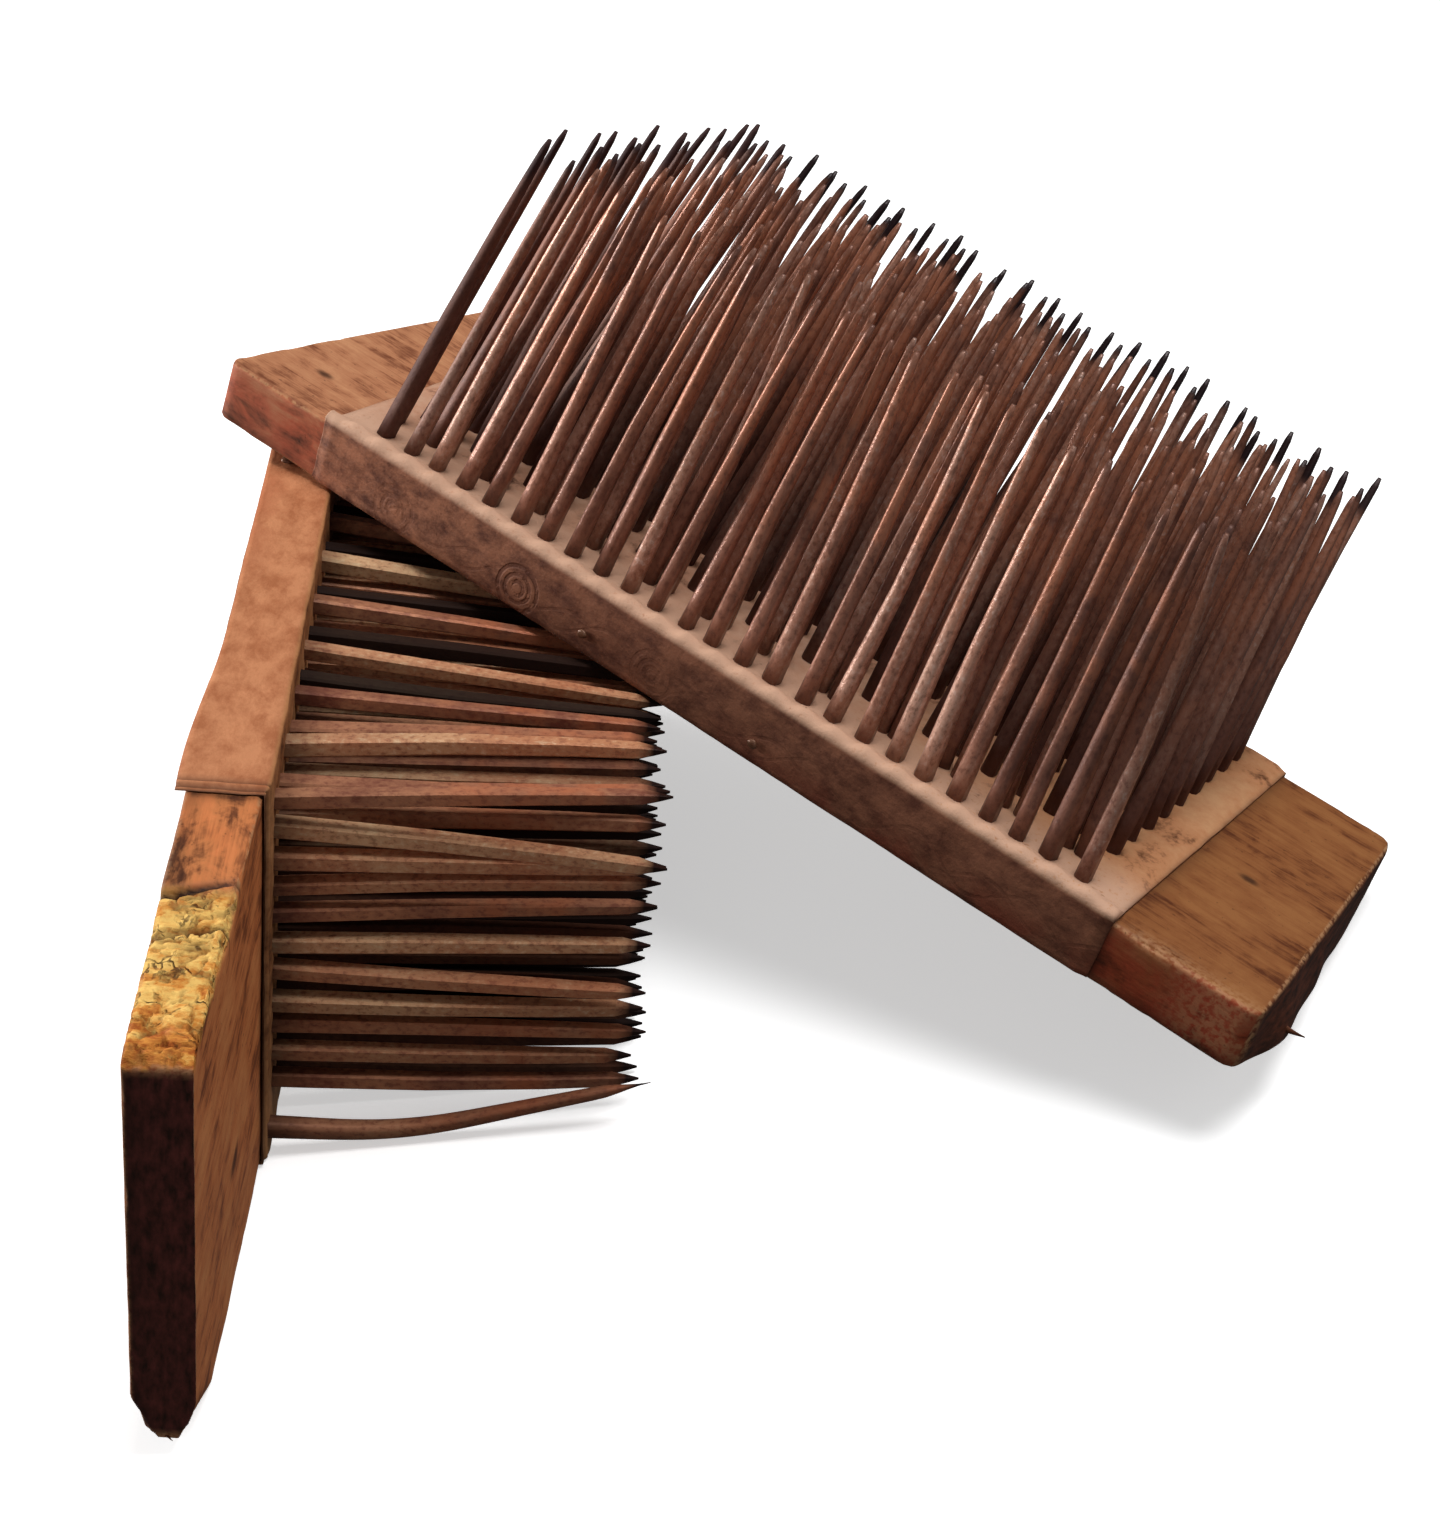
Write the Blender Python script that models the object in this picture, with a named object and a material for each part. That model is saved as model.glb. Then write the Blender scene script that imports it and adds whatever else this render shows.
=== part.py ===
"""A pair of iron-tined wool combs, the upper one leaning on the lower one.

Each comb is a wooden board whose middle is wrapped in a thin sheet. The sheet is laid in
strips, one for each row of tines, inside a folded border that is nailed to the board's edges.
A comb is modelled in its own frame: x along the board, y across it, z out of the tine face.
"""

import math
from dataclasses import dataclass

import bmesh
import bpy
from mathutils import Matrix, Vector

# Sizes are in metres and angles in degrees.

# Boards
BOARD_WIDTH = 0.102
BOARD_THICKNESS = 0.016
BOARD_CORNER = 0.004
BOARD_EDGE = 0.0008
CORNER_STEPS = 4

# Wrapped sheet
SHEET = 0.0012
SEAT_GAP = 0.0003
SHEET_HEM = 0.0006
FOLD_STEPS = 3

# Tines: square section, tapering to a shoulder and then to a point
TINE_BASE = 0.0038
STRIP_END = 0.0043

# The one tine of the lower comb that is bent: it dips as it leaves the sheet, then curves up
BENT_INSET = 0.0051
BENT_Y = 0.0068
BENT_ROOT = 0.009
BENT_LENGTH = 0.089
BENT_DIP = -4.0
BENT_DIP_RUN = 0.005
BENT_RISE = 22.0
BENT_RISE_START = 0.010
BENT_RISE_RUN = 0.042
BENT_STEPS = 12

# Nails that hold the border of the sheet
NAIL_HEAD_RADIUS = 0.0017
NAIL_HEAD_HEIGHT = 0.0007
NAIL_SHANK_RADIUS = 0.0008
NAIL_LENGTH = 0.0085
NAIL_SIDES = 10

# Hewn end of the lower board: thinned on its tine face, chopped along its top, one corner broken
HEWN_FACE_TAPER = 0.0028
CHOP_START = 0.050
CHOP_DEPTH = 0.0036
CHOP_HEIGHT = 0.0065
CHIP_RUN = 0.012
CHIP_HEIGHT = 0.013
CHIP_DEPTH = 0.006

# How the pair is set down
LOWER_LEAN = 10.8
UPPER_TILT = 22.6
UPPER_TURN = -35.6
UPPER_ALONG = 0.2421
PRESS_RAMP = 0.030
TINE_CLEARANCE = 0.0010
TIP_SPACING = 0.0028


@dataclass(frozen=True)
class Comb:
    """The sizes of one comb.

    A skew is how far a board's end is cut back at its far long edge. Rows and columns of tines
    start and stop so far from the long edges and from the ends of the sheet, and two nails on
    each long edge stand so far from the sheet's far end. The tines lean along the board by
    lean_mean plus or minus lean_fan at its ends, and across it likewise. Their length falls by
    fall_along on either side of the middle, and by fall_across likewise.
    """

    name: str
    length: float
    skew_start: float
    skew_end: float
    bare_start: float
    bare_end: float
    rows: int
    columns: int
    row_first: float
    row_last: float
    column_first: float
    column_last: float
    tine_length: float
    tine_shoulder: float
    tine_point: float
    fall_along: float
    fall_across: float
    lean_mean: float
    lean_fan: float
    across_mean: float
    across_fan: float
    near_nails: tuple
    far_nails: tuple
    nail_drop: float

    @property
    def wrap_end(self):
        """Where the wrapped part stops along the board."""
        return self.length - self.bare_end

    @property
    def row_pitch(self):
        """Distance between neighbouring rows of tines."""
        return (BOARD_WIDTH - self.row_last - self.row_first) / (self.rows - 1)

    @property
    def tine_pitch(self):
        """Distance between neighbouring tines of one row."""
        first = self.bare_start + self.column_first
        last = self.wrap_end - self.column_last
        return (last - first) / (self.columns - 1)

    def row_y(self, row):
        """Place of a row across the board."""
        return self.row_first + row * self.row_pitch

    def tine_x(self, column):
        """Place of a tine along the board."""
        return self.bare_start + self.column_first + column * self.tine_pitch

    def window(self):
        """Corners of the opening in the border that the strips fill."""
        half_row = self.row_pitch / 2
        low = (self.tine_x(0) - STRIP_END, self.row_y(0) - half_row)
        high = (self.tine_x(self.columns - 1) + STRIP_END, self.row_y(self.rows - 1) + half_row)
        return low, high


UPPER = Comb(
    name="upper", length=0.3034, skew_start=0.0112, skew_end=0.0067,
    bare_start=0.0338, bare_end=0.0379, rows=11, columns=25,
    row_first=0.0075, row_last=0.0075, column_first=0.0125, column_last=0.0125,
    tine_length=0.0837, tine_shoulder=0.0021, tine_point=0.011,
    fall_along=0.0033, fall_across=0.0062, lean_mean=4.7, lean_fan=10.3,
    across_mean=10.7, across_fan=9.8,
    near_nails=(0.1450, 0.0940), far_nails=(0.1755, 0.0655), nail_drop=0.0105,
)

LOWER = Comb(
    name="lower", length=0.2960, skew_start=0.0, skew_end=0.0,
    bare_start=0.0849, bare_end=0.0310, rows=11, columns=16,
    row_first=0.0153, row_last=0.0090, column_first=0.0125, column_last=0.0125,
    tine_length=0.0850, tine_shoulder=0.0026, tine_point=0.0065,
    fall_along=0.0, fall_across=0.0, lean_mean=0.0, lean_fan=0.0,
    across_mean=3.4, across_fan=0.5,
    near_nails=(0.1200, 0.0220), far_nails=(0.0330, 0.0120), nail_drop=0.0105,
)

BENT_X = LOWER.bare_start + BENT_INSET

# Helpers


def clear_scene():
    """Remove every object of the open file."""
    for old in list(bpy.data.objects):
        bpy.data.objects.remove(old, do_unlink=True)


def make_material(name, colour, roughness, metallic):
    """Return a Principled material of one colour."""
    material = bpy.data.materials.new(name)
    material.use_nodes = True
    shader = material.node_tree.nodes["Principled BSDF"]
    shader.inputs["Base Color"].default_value = (*colour, 1.0)
    shader.inputs["Roughness"].default_value = roughness
    shader.inputs["Metallic"].default_value = metallic
    return material


def make_empty(name, matrix, parent=None):
    """Add an empty that carries a group of pieces."""
    empty = bpy.data.objects.new(name, None)
    bpy.context.collection.objects.link(empty)
    empty.parent = parent
    empty.matrix_local = matrix
    return empty


def add_object(name, shape, material, parent):
    """Turn a bmesh into an object under its parent, with its faces turned outwards."""
    bmesh.ops.recalc_face_normals(shape, faces=shape.faces)
    mesh = bpy.data.meshes.new(name)
    shape.to_mesh(mesh)
    shape.free()
    mesh.materials.append(material)
    piece = bpy.data.objects.new(name, mesh)
    bpy.context.collection.objects.link(piece)
    piece.parent = parent
    return piece


def cut(piece, cutter):
    """Take a hidden cutter out of a piece."""
    cutter.hide_render = True
    cutter.display_type = "WIRE"
    boolean = piece.modifiers.new("cut", "BOOLEAN")
    boolean.operation = "DIFFERENCE"
    boolean.solver = "EXACT"
    boolean.object = cutter


def add_prism(shape, outline, lift):
    """Add a closed prism to a bmesh: a flat outline moved along the vector lift."""
    bottom = [shape.verts.new(point) for point in outline]
    top = [shape.verts.new(Vector(point) + lift) for point in outline]
    count = len(outline)
    shape.faces.new(bottom)
    shape.faces.new(list(reversed(top)))
    for i in range(count):
        j = (i + 1) % count
        shape.faces.new((bottom[i], top[i], top[j], bottom[j]))


def arc(centre, radius, start, end, steps):
    """Points of a circular arc, in the plane of the two numbers of the centre."""
    points = []
    for step in range(steps + 1):
        angle = math.radians(start + (end - start) * step / steps)
        points.append((centre[0] + radius * math.cos(angle), centre[1] + radius * math.sin(angle)))
    return points


def rounded_outline(corners, radius, steps):
    """Round each corner of a convex outline that runs anticlockwise."""
    outline = []
    count = len(corners)
    for i in range(count):
        corner = Vector(corners[i])
        before = (Vector(corners[i - 1]) - corner).normalized()
        after = (Vector(corners[(i + 1) % count]) - corner).normalized()
        half_angle = before.angle(after) / 2
        middle = (before + after).normalized()
        centre = corner + middle * (radius / math.sin(half_angle))
        start = math.degrees(math.atan2(before.x, -before.y))
        sweep = 180 - math.degrees(2 * half_angle)
        outline += arc(centre, radius, start, start + sweep, steps)
    return outline


# Placement

LEAN = math.radians(LOWER_LEAN)
TILT = math.radians(UPPER_TILT)
TURN = math.radians(UPPER_TURN)
PROUD = SEAT_GAP + SHEET


def frame_matrix(x_axis, y_axis, z_axis, origin):
    """Matrix of a frame from its axes and origin."""
    turn = Matrix((x_axis, y_axis, z_axis)).transposed().to_4x4()
    return Matrix.Translation(origin) @ turn


LOWER_Y = Vector((math.sin(LEAN), 0, math.cos(LEAN)))
LOWER_Z = Vector((math.cos(LEAN), 0, -math.sin(LEAN)))
LOWER_MATRIX = frame_matrix(Vector((0, 1, 0)), LOWER_Y, LOWER_Z, Vector((0, 0, 0)))

# The lower comb stands on the rounded fold of its sheet, so the floor is this far below its frame.
FLOOR = -(SEAT_GAP * (math.cos(LEAN) + math.sin(LEAN)) + SHEET)

# The upper board's back rests on the fold along the lower comb's top edge.
UP = Vector((math.sin(TILT), 0, math.cos(TILT)))
DOWNHILL = Vector((math.cos(TILT), 0, -math.sin(TILT)))
ALONG = Vector((0, 1, 0))
FOLD_CENTRE = LOWER_Y * (BOARD_WIDTH + SEAT_GAP) + LOWER_Z * SEAT_GAP
REST = FOLD_CENTRE + UP * (SHEET + SEAT_GAP)


def upper_matrix():
    """Set the upper comb on the fold, with the far corner of its end on the floor."""
    x_axis = DOWNHILL * math.cos(TURN) + ALONG * math.sin(TURN)
    y_axis = ALONG * math.cos(TURN) - DOWNHILL * math.sin(TURN)
    corner_run = (REST.z - FLOOR) / math.sin(TILT)
    corner_x = UPPER.length - UPPER.skew_end
    start_run = corner_run - corner_x * math.cos(TURN) + BOARD_WIDTH * math.sin(TURN)
    origin = REST + DOWNHILL * start_run + ALONG * UPPER_ALONG + UP * BOARD_THICKNESS
    return frame_matrix(x_axis, y_axis, UP, origin)


UPPER_MATRIX = upper_matrix()

# Pieces


def board_outline(comb):
    """Plan of a board, with its ends cut a little askew and its corners rounded."""
    corners = (
        (0, 0),
        (comb.length, 0),
        (comb.length - comb.skew_end, BOARD_WIDTH),
        (comb.skew_start, BOARD_WIDTH),
    )
    return rounded_outline(corners, BOARD_CORNER, CORNER_STEPS)


def make_board(comb, material, parent):
    """Wooden board with worn edges."""
    shape = bmesh.new()
    outline = [(x, y, -BOARD_THICKNESS) for x, y in board_outline(comb)]
    add_prism(shape, outline, Vector((0, 0, BOARD_THICKNESS)))
    rim = [edge for edge in shape.edges if abs(edge.verts[0].co.z - edge.verts[1].co.z) < 1e-6]
    bmesh.ops.bevel(shape, geom=rim, offset=BOARD_EDGE, segments=1, profile=0.5, affect="EDGES")
    holes = bmesh.new()
    add_nail_holes(holes, comb)
    if comb is LOWER:
        hew_end(shape, comb)
        add_chop(holes)
        add_bent_hole(holes)
    board = add_object(f"{comb.name}_board", shape, material, parent)
    cut(board, add_object(f"{comb.name}_board_cutter", holes, material, parent))


def shave(shape, first, second, third):
    """Cut away what lies above the plane through three points, and close the cut."""
    first = Vector(first)
    normal = (Vector(second) - first).cross(Vector(third) - first)
    everything = shape.verts[:] + shape.edges[:] + shape.faces[:]
    result = bmesh.ops.bisect_plane(shape, geom=everything, plane_co=first, plane_no=normal,
                                    clear_outer=True)
    rim = [item for item in result["geom_cut"] if isinstance(item, bmesh.types.BMEdge)]
    bmesh.ops.edgenet_fill(shape, edges=rim)


def hew_end(shape, comb):
    """Thin the tine face of the lower board's bare end, and break off its bottom corner."""
    back = -BOARD_THICKNESS
    start = -HEWN_FACE_TAPER
    shave(shape, (0, 0, start), (comb.bare_start, 0, 0), (0, BOARD_WIDTH, start))
    shave(shape, (CHIP_RUN, 0, back), (0, 0, back + CHIP_DEPTH), (0, CHIP_HEIGHT, back))


def add_chop(shape):
    """Add the cutter of the axe chop along the top of the hewn end."""
    spare = BOARD_EDGE
    top = BOARD_WIDTH + spare
    wall = (
        (-spare, top, spare),
        (-spare, top, -CHOP_DEPTH),
        (-spare, BOARD_WIDTH - CHOP_HEIGHT, spare),
    )
    add_prism(shape, wall, Vector((CHOP_START + spare, 0, 0)))


def make_wrap(comb, material, parent):
    """Folded border of the sheet: round both long edges, open where the strips lie."""
    hem = -BOARD_THICKNESS + SHEET_HEM
    inner_far = BOARD_WIDTH + SEAT_GAP
    profile = [(-PROUD, hem)]
    profile += arc((-SEAT_GAP, SEAT_GAP), SHEET, 180, 90, FOLD_STEPS)
    profile += arc((inner_far, SEAT_GAP), SHEET, 90, 0, FOLD_STEPS)
    profile += [(BOARD_WIDTH + PROUD, hem), (inner_far, hem), (inner_far, SEAT_GAP)]
    profile += [(-SEAT_GAP, SEAT_GAP), (-SEAT_GAP, hem)]
    shape = bmesh.new()
    run = Vector((comb.wrap_end - comb.bare_start, 0, 0))
    add_prism(shape, [(comb.bare_start, y, z) for y, z in profile], run)
    wrap = add_object(f"{comb.name}_wrap", shape, material, parent)
    low, high = comb.window()
    hole = bmesh.new()
    plan = ((low[0], low[1]), (high[0], low[1]), (high[0], high[1]), (low[0], high[1]))
    floor = [(*corner, 0) for corner in plan]
    add_prism(hole, floor, Vector((0, 0, 2 * PROUD)))
    add_nail_holes(hole, comb)
    if comb is LOWER:
        add_bent_hole(hole)
    cut(wrap, add_object(f"{comb.name}_wrap_cutter", hole, material, parent))
    return wrap


def nail_places(comb):
    """Yield the name, place and outward direction of each nail's seat on the sheet."""
    sides = (("near", comb.near_nails, -PROUD, -1), ("far", comb.far_nails, BOARD_WIDTH + PROUD, 1))
    for name, distances, y, side in sides:
        for index, distance in enumerate(distances):
            yield f"{name}_nail_{index + 1}", Vector((comb.wrap_end - distance, y, -comb.nail_drop)), side


def circle_points(centre, radius, sides):
    """Points of a circle round the y axis through a centre."""
    return [(centre.x + radius * math.cos(math.tau * i / sides), centre.y,
             centre.z + radius * math.sin(math.tau * i / sides)) for i in range(sides)]


def add_nail_holes(shape, comb):
    """Add a cutter for the hole of each nail."""
    for _, seat, side in nail_places(comb):
        start = seat + Vector((0, side * SHEET, 0))
        depth = -side * (SHEET + NAIL_LENGTH + 2 * SEAT_GAP)
        ring = circle_points(start, NAIL_SHANK_RADIUS + SEAT_GAP, NAIL_SIDES)
        add_prism(shape, ring, Vector((0, depth, 0)))


def make_nail(comb, name, seat, side, material, parent):
    """Nail with a low domed head, turned about its own axis."""
    profile = (
        (0.0, -NAIL_LENGTH),
        (NAIL_SHANK_RADIUS, -NAIL_LENGTH + 2 * NAIL_SHANK_RADIUS),
        (NAIL_SHANK_RADIUS, 0.0),
        (NAIL_HEAD_RADIUS, 0.0),
        (NAIL_HEAD_RADIUS, NAIL_HEAD_HEIGHT / 2),
        (NAIL_HEAD_RADIUS / 2, NAIL_HEAD_HEIGHT),
        (0.0, NAIL_HEAD_HEIGHT),
    )
    shape = bmesh.new()
    points = [shape.verts.new((radius, 0, height)) for radius, height in profile]
    edges = [shape.edges.new(pair) for pair in zip(points, points[1:])]
    bmesh.ops.spin(shape, geom=points + edges, cent=(0, 0, 0), axis=(0, 0, 1), angle=math.tau,
                   steps=NAIL_SIDES, use_merge=True)
    bmesh.ops.remove_doubles(shape, verts=shape.verts, dist=1e-6)
    nail = add_object(f"{comb.name}_{name}", shape, material, parent)
    nail.location = seat + Vector((0, side * SEAT_GAP, 0))
    nail.rotation_euler = (-side * math.pi / 2, 0, 0)
    return nail


def over_upper_back(point):
    """Height of a point of the lower comb over the plane of the upper board's back."""
    return (LOWER_MATRIX @ point - REST).dot(UP) + SEAT_GAP


def under_upper(point):
    """How far inside the upper board's near long edge a point of the lower comb lies."""
    return (UPPER_MATRIX.inverted() @ (LOWER_MATRIX @ point)).y


def tine_tip(comb, base, row):
    """Tip of a tine from its base, with the lean that its place on the board gives it.

    The lower comb's top rows are pressed down by the upper board, each row below the last.
    """
    run = 2 * base.x / comb.length - 1
    across = 2 * base.y / BOARD_WIDTH - 1
    lean = math.radians(comb.lean_mean - comb.lean_fan * run)
    aside = math.radians(comb.across_mean + comb.across_fan * across)
    length = comb.tine_length - comb.fall_along * run - comb.fall_across * across

    def tip_at(angle):
        rise = math.cos(lean) * math.cos(angle)
        return base + length * Vector((math.sin(lean), math.sin(angle), rise))

    if comb is UPPER:
        return tip_at(aside)
    free = aside
    room = TINE_CLEARANCE + TIP_SPACING * (comb.rows - 1 - row)
    while over_upper_back(tip_at(aside)) > -room:
        aside -= math.radians(0.2)
    near = under_upper(tip_at(aside)) + PRESS_RAMP
    share = min(1.0, max(0.0, near / PRESS_RAMP))
    return tip_at(free + (aside - free) * share)


def make_row(comb, row, material, parent):
    """One row of tines on its strip of the sheet.

    The strip's top is two faces that meet along the near sides of the tines' bases, so that
    it needs no points besides its corners and those bases.
    """
    shape = bmesh.new()
    low, high = comb.window()
    half = comb.row_pitch / 2 - SEAT_GAP / 2
    y = comb.row_y(row)
    left, right = low[0] + SEAT_GAP, high[0] - SEAT_GAP
    near, far = y - half, y + half
    plan = ((left, near), (right, near), (right, far), (left, far))
    bottom = [shape.verts.new((*corner, SEAT_GAP)) for corner in plan]
    top = [shape.verts.new((*corner, PROUD)) for corner in plan]
    shape.faces.new(bottom)
    for i in range(4):
        j = (i + 1) % 4
        shape.faces.new((bottom[i], bottom[j], top[j], top[i]))
    near_line = []
    far_line = []
    for column in range(comb.columns):
        base = Vector((comb.tine_x(column), y, PROUD))
        tip = tine_tip(comb, base, row)
        ring = add_tine(shape, comb, base, tip)
        near_line += [ring[0], ring[1]]
        far_line += [ring[0], ring[3], ring[2], ring[1]]
    shape.faces.new([top[0], top[1]] + list(reversed(near_line)))
    shape.faces.new([top[0]] + far_line + [top[1], top[2], top[3]])
    return add_object(f"{comb.name}_tine_row_{row + 1:02d}", shape, material, parent)


def add_tine(shape, comb, base, tip):
    """Add the sides and the point of a tine, and return the corners of its base."""
    axis = tip - base
    shoulder = base + axis * (1 - comb.tine_point / axis.length)
    signs = ((-1, -1), (1, -1), (1, 1), (-1, 1))
    foot = [shape.verts.new(base + Vector((a, b, 0)) * TINE_BASE / 2) for a, b in signs]
    half = comb.tine_shoulder / 2
    neck = [shape.verts.new(shoulder + Vector((a, b, 0)) * half) for a, b in signs]
    point = shape.verts.new(tip)
    for i in range(4):
        j = (i + 1) % 4
        shape.faces.new((foot[i], foot[j], neck[j], neck[i]))
        shape.faces.new((neck[i], neck[j], point))
    return foot


def smooth(value):
    """Ease from 0 to 1 while a value goes from 0 to 1."""
    value = min(1.0, max(0.0, value))
    return value * value * (3 - 2 * value)


def bent_heading(run):
    """Angle of the bent tine, across the board, after a run from the sheet."""
    dip = BENT_DIP * smooth(run / BENT_DIP_RUN)
    rise = (BENT_RISE - BENT_DIP) * smooth((run - BENT_RISE_START) / BENT_RISE_RUN)
    return math.radians(dip + rise)


def bent_section(shape, centre, heading, size):
    """Add the four corners of the bent tine's section, square to its heading."""
    along = Vector((1, 0, 0)) * size / 2
    across = Vector((0, math.cos(heading), -math.sin(heading))) * size / 2
    signs = ((-1, -1), (1, -1), (1, 1), (-1, 1))
    return [shape.verts.new(centre + along * a + across * b) for a, b in signs]


def make_bent_tine(comb, material, parent):
    """The bent tine: a square bar carried along a path that dips and then rises."""
    shape = bmesh.new()
    root = Vector((BENT_X, BENT_Y, -BENT_ROOT))
    centre = Vector((BENT_X, BENT_Y, PROUD))
    sections = [bent_section(shape, place, 0.0, TINE_BASE) for place in (root, centre)]
    straight = BENT_LENGTH - comb.tine_point
    for i in range(1, BENT_STEPS + 1):
        run = straight * i / BENT_STEPS
        heading = bent_heading(run)
        ahead = Vector((0, math.sin(heading), math.cos(heading)))
        centre = centre + ahead * straight / BENT_STEPS
        size = TINE_BASE + (comb.tine_shoulder - TINE_BASE) * run / straight
        sections.append(bent_section(shape, centre, heading, size))
    point = shape.verts.new(centre + ahead * comb.tine_point)
    shape.faces.new(sections[0])
    for low, high in zip(sections, sections[1:]):
        for i in range(4):
            j = (i + 1) % 4
            shape.faces.new((low[i], low[j], high[j], high[i]))
    for i in range(4):
        shape.faces.new((sections[-1][i], sections[-1][(i + 1) % 4], point))
    return add_object(f"{comb.name}_bent_tine", shape, material, parent)


def add_bent_hole(shape):
    """Add the cutter of the bent tine's hole."""
    half = TINE_BASE / 2 + SEAT_GAP
    signs = ((-1, -1), (1, -1), (1, 1), (-1, 1))
    depth = -BENT_ROOT - SEAT_GAP
    ring = [(BENT_X + a * half, BENT_Y + b * half, depth) for a, b in signs]
    add_prism(shape, ring, Vector((0, 0, BENT_ROOT + 2 * PROUD)))


def make_comb(comb, materials, parent):
    """Build every piece of one comb."""
    make_board(comb, materials["wood"], parent)
    make_wrap(comb, materials["sheet"], parent)
    for row in range(comb.rows):
        make_row(comb, row, materials["iron"], parent)
    if comb is LOWER:
        make_bent_tine(comb, materials["iron"], parent)
    for name, seat, side in nail_places(comb):
        make_nail(comb, name, seat, side, materials["nail"], parent)


def centre_on_floor(root):
    """Move the pair so that the middle of its box stands on the origin."""
    bpy.context.view_layer.update()
    points = []
    for piece in bpy.data.objects:
        if piece.type == "MESH" and not piece.hide_render:
            points += [piece.matrix_world @ vert.co for vert in piece.data.vertices]
    low = Vector([min(point[i] for point in points) for i in range(3)])
    high = Vector([max(point[i] for point in points) for i in range(3)])
    root.location = (-(low.x + high.x) / 2, -(low.y + high.y) / 2, -low.z)
    bpy.context.view_layer.update()
    print("size of the pair in millimetres:", [round(1000 * side, 1) for side in high - low])


def main():
    """Build the pair."""
    clear_scene()
    materials = {
        "wood": make_material("wood", (0.33, 0.17, 0.08), 0.62, 0.0),
        "sheet": make_material("sheet", (0.36, 0.24, 0.15), 0.70, 0.0),
        "iron": make_material("iron", (0.15, 0.085, 0.055), 0.55, 0.6),
        "nail": make_material("nail", (0.24, 0.17, 0.12), 0.50, 0.7),
    }
    root = make_empty("pair", Matrix.Identity(4))
    make_comb(LOWER, materials, make_empty("lower_comb", LOWER_MATRIX, root))
    make_comb(UPPER, materials, make_empty("upper_comb", UPPER_MATRIX, root))
    centre_on_floor(root)


main()
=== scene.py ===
"""Looks of a pair of iron-tined wool combs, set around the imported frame.

Every mesh is worked out with numpy in a comb's own frame, x along the board, y across it and z
out of the tine face, and is then carried to its place. Lengths are in metres.
"""

import logging
import math

import bmesh
import bpy
import numpy as np
from dataclasses import dataclass
from enum import Enum
from mathutils import Matrix, Vector


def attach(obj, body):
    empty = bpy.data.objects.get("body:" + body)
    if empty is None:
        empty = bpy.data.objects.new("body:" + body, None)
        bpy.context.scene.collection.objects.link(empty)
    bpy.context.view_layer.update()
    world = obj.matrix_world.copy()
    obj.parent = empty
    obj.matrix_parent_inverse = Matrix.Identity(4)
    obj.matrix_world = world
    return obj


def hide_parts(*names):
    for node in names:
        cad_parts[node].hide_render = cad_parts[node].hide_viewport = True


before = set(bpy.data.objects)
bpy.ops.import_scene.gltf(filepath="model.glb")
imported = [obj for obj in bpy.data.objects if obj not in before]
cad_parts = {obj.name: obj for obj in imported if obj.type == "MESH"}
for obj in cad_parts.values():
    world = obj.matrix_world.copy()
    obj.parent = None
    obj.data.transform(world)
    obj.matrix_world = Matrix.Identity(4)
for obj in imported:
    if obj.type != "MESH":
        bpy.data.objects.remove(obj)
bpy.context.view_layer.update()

LOG = logging.getLogger("combs")
Array = np.ndarray
Triple = tuple[float, float, float]
Colour = Triple
Span = tuple[float, float]

# Sizes shared by both combs, as the solids have them
BOARD_WIDTH = 0.102
BOARD_THICKNESS = 0.016
SHEET = 0.0012
SEAT_GAP = 0.0003
PROUD = SHEET + SEAT_GAP

# How the pair is set down
LOWER_LEAN = math.radians(10.8)
UPPER_TILT = math.radians(22.6)
UPPER_TURN = math.radians(-35.6)
LOWER_ORIGIN = (-0.1307746, -0.1585767, 0.0015297)
UPPER_ORIGIN = (-0.1337999, 0.0835233, 0.1302783)


class Slot(Enum):
    """Material slots of the record."""

    WOOD = "wood"
    SHEET = "sheet"
    TINE = "tine_iron"
    NAIL = "nail_iron"


def paint(red: int, green: int, blue: int) -> Colour:
    """Return the linear colour of an eight-bit display colour.

    Args:
        red: Red from 0 to 255.
        green: Green from 0 to 255.
        blue: Blue from 0 to 255.

    Returns:
        The three linear values.
    """
    shares = np.array((red, green, blue)) / 255.0
    linear = np.where(shares <= 0.04045, shares / 12.92, ((shares + 0.055) / 1.055) ** 2.4)
    return tuple(float(value) for value in linear)


def ease(values: Array, low: float, high: float) -> Array:
    """Return a smooth step from 0 at low to 1 at high.

    Args:
        values: Any array of numbers.
        low: Value where the step starts.
        high: Value where the step ends.

    Returns:
        An array of the same shape.
    """
    share = np.clip((values - low) / (high - low), 0.0, 1.0)
    return share * share * (3.0 - 2.0 * share)


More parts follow.
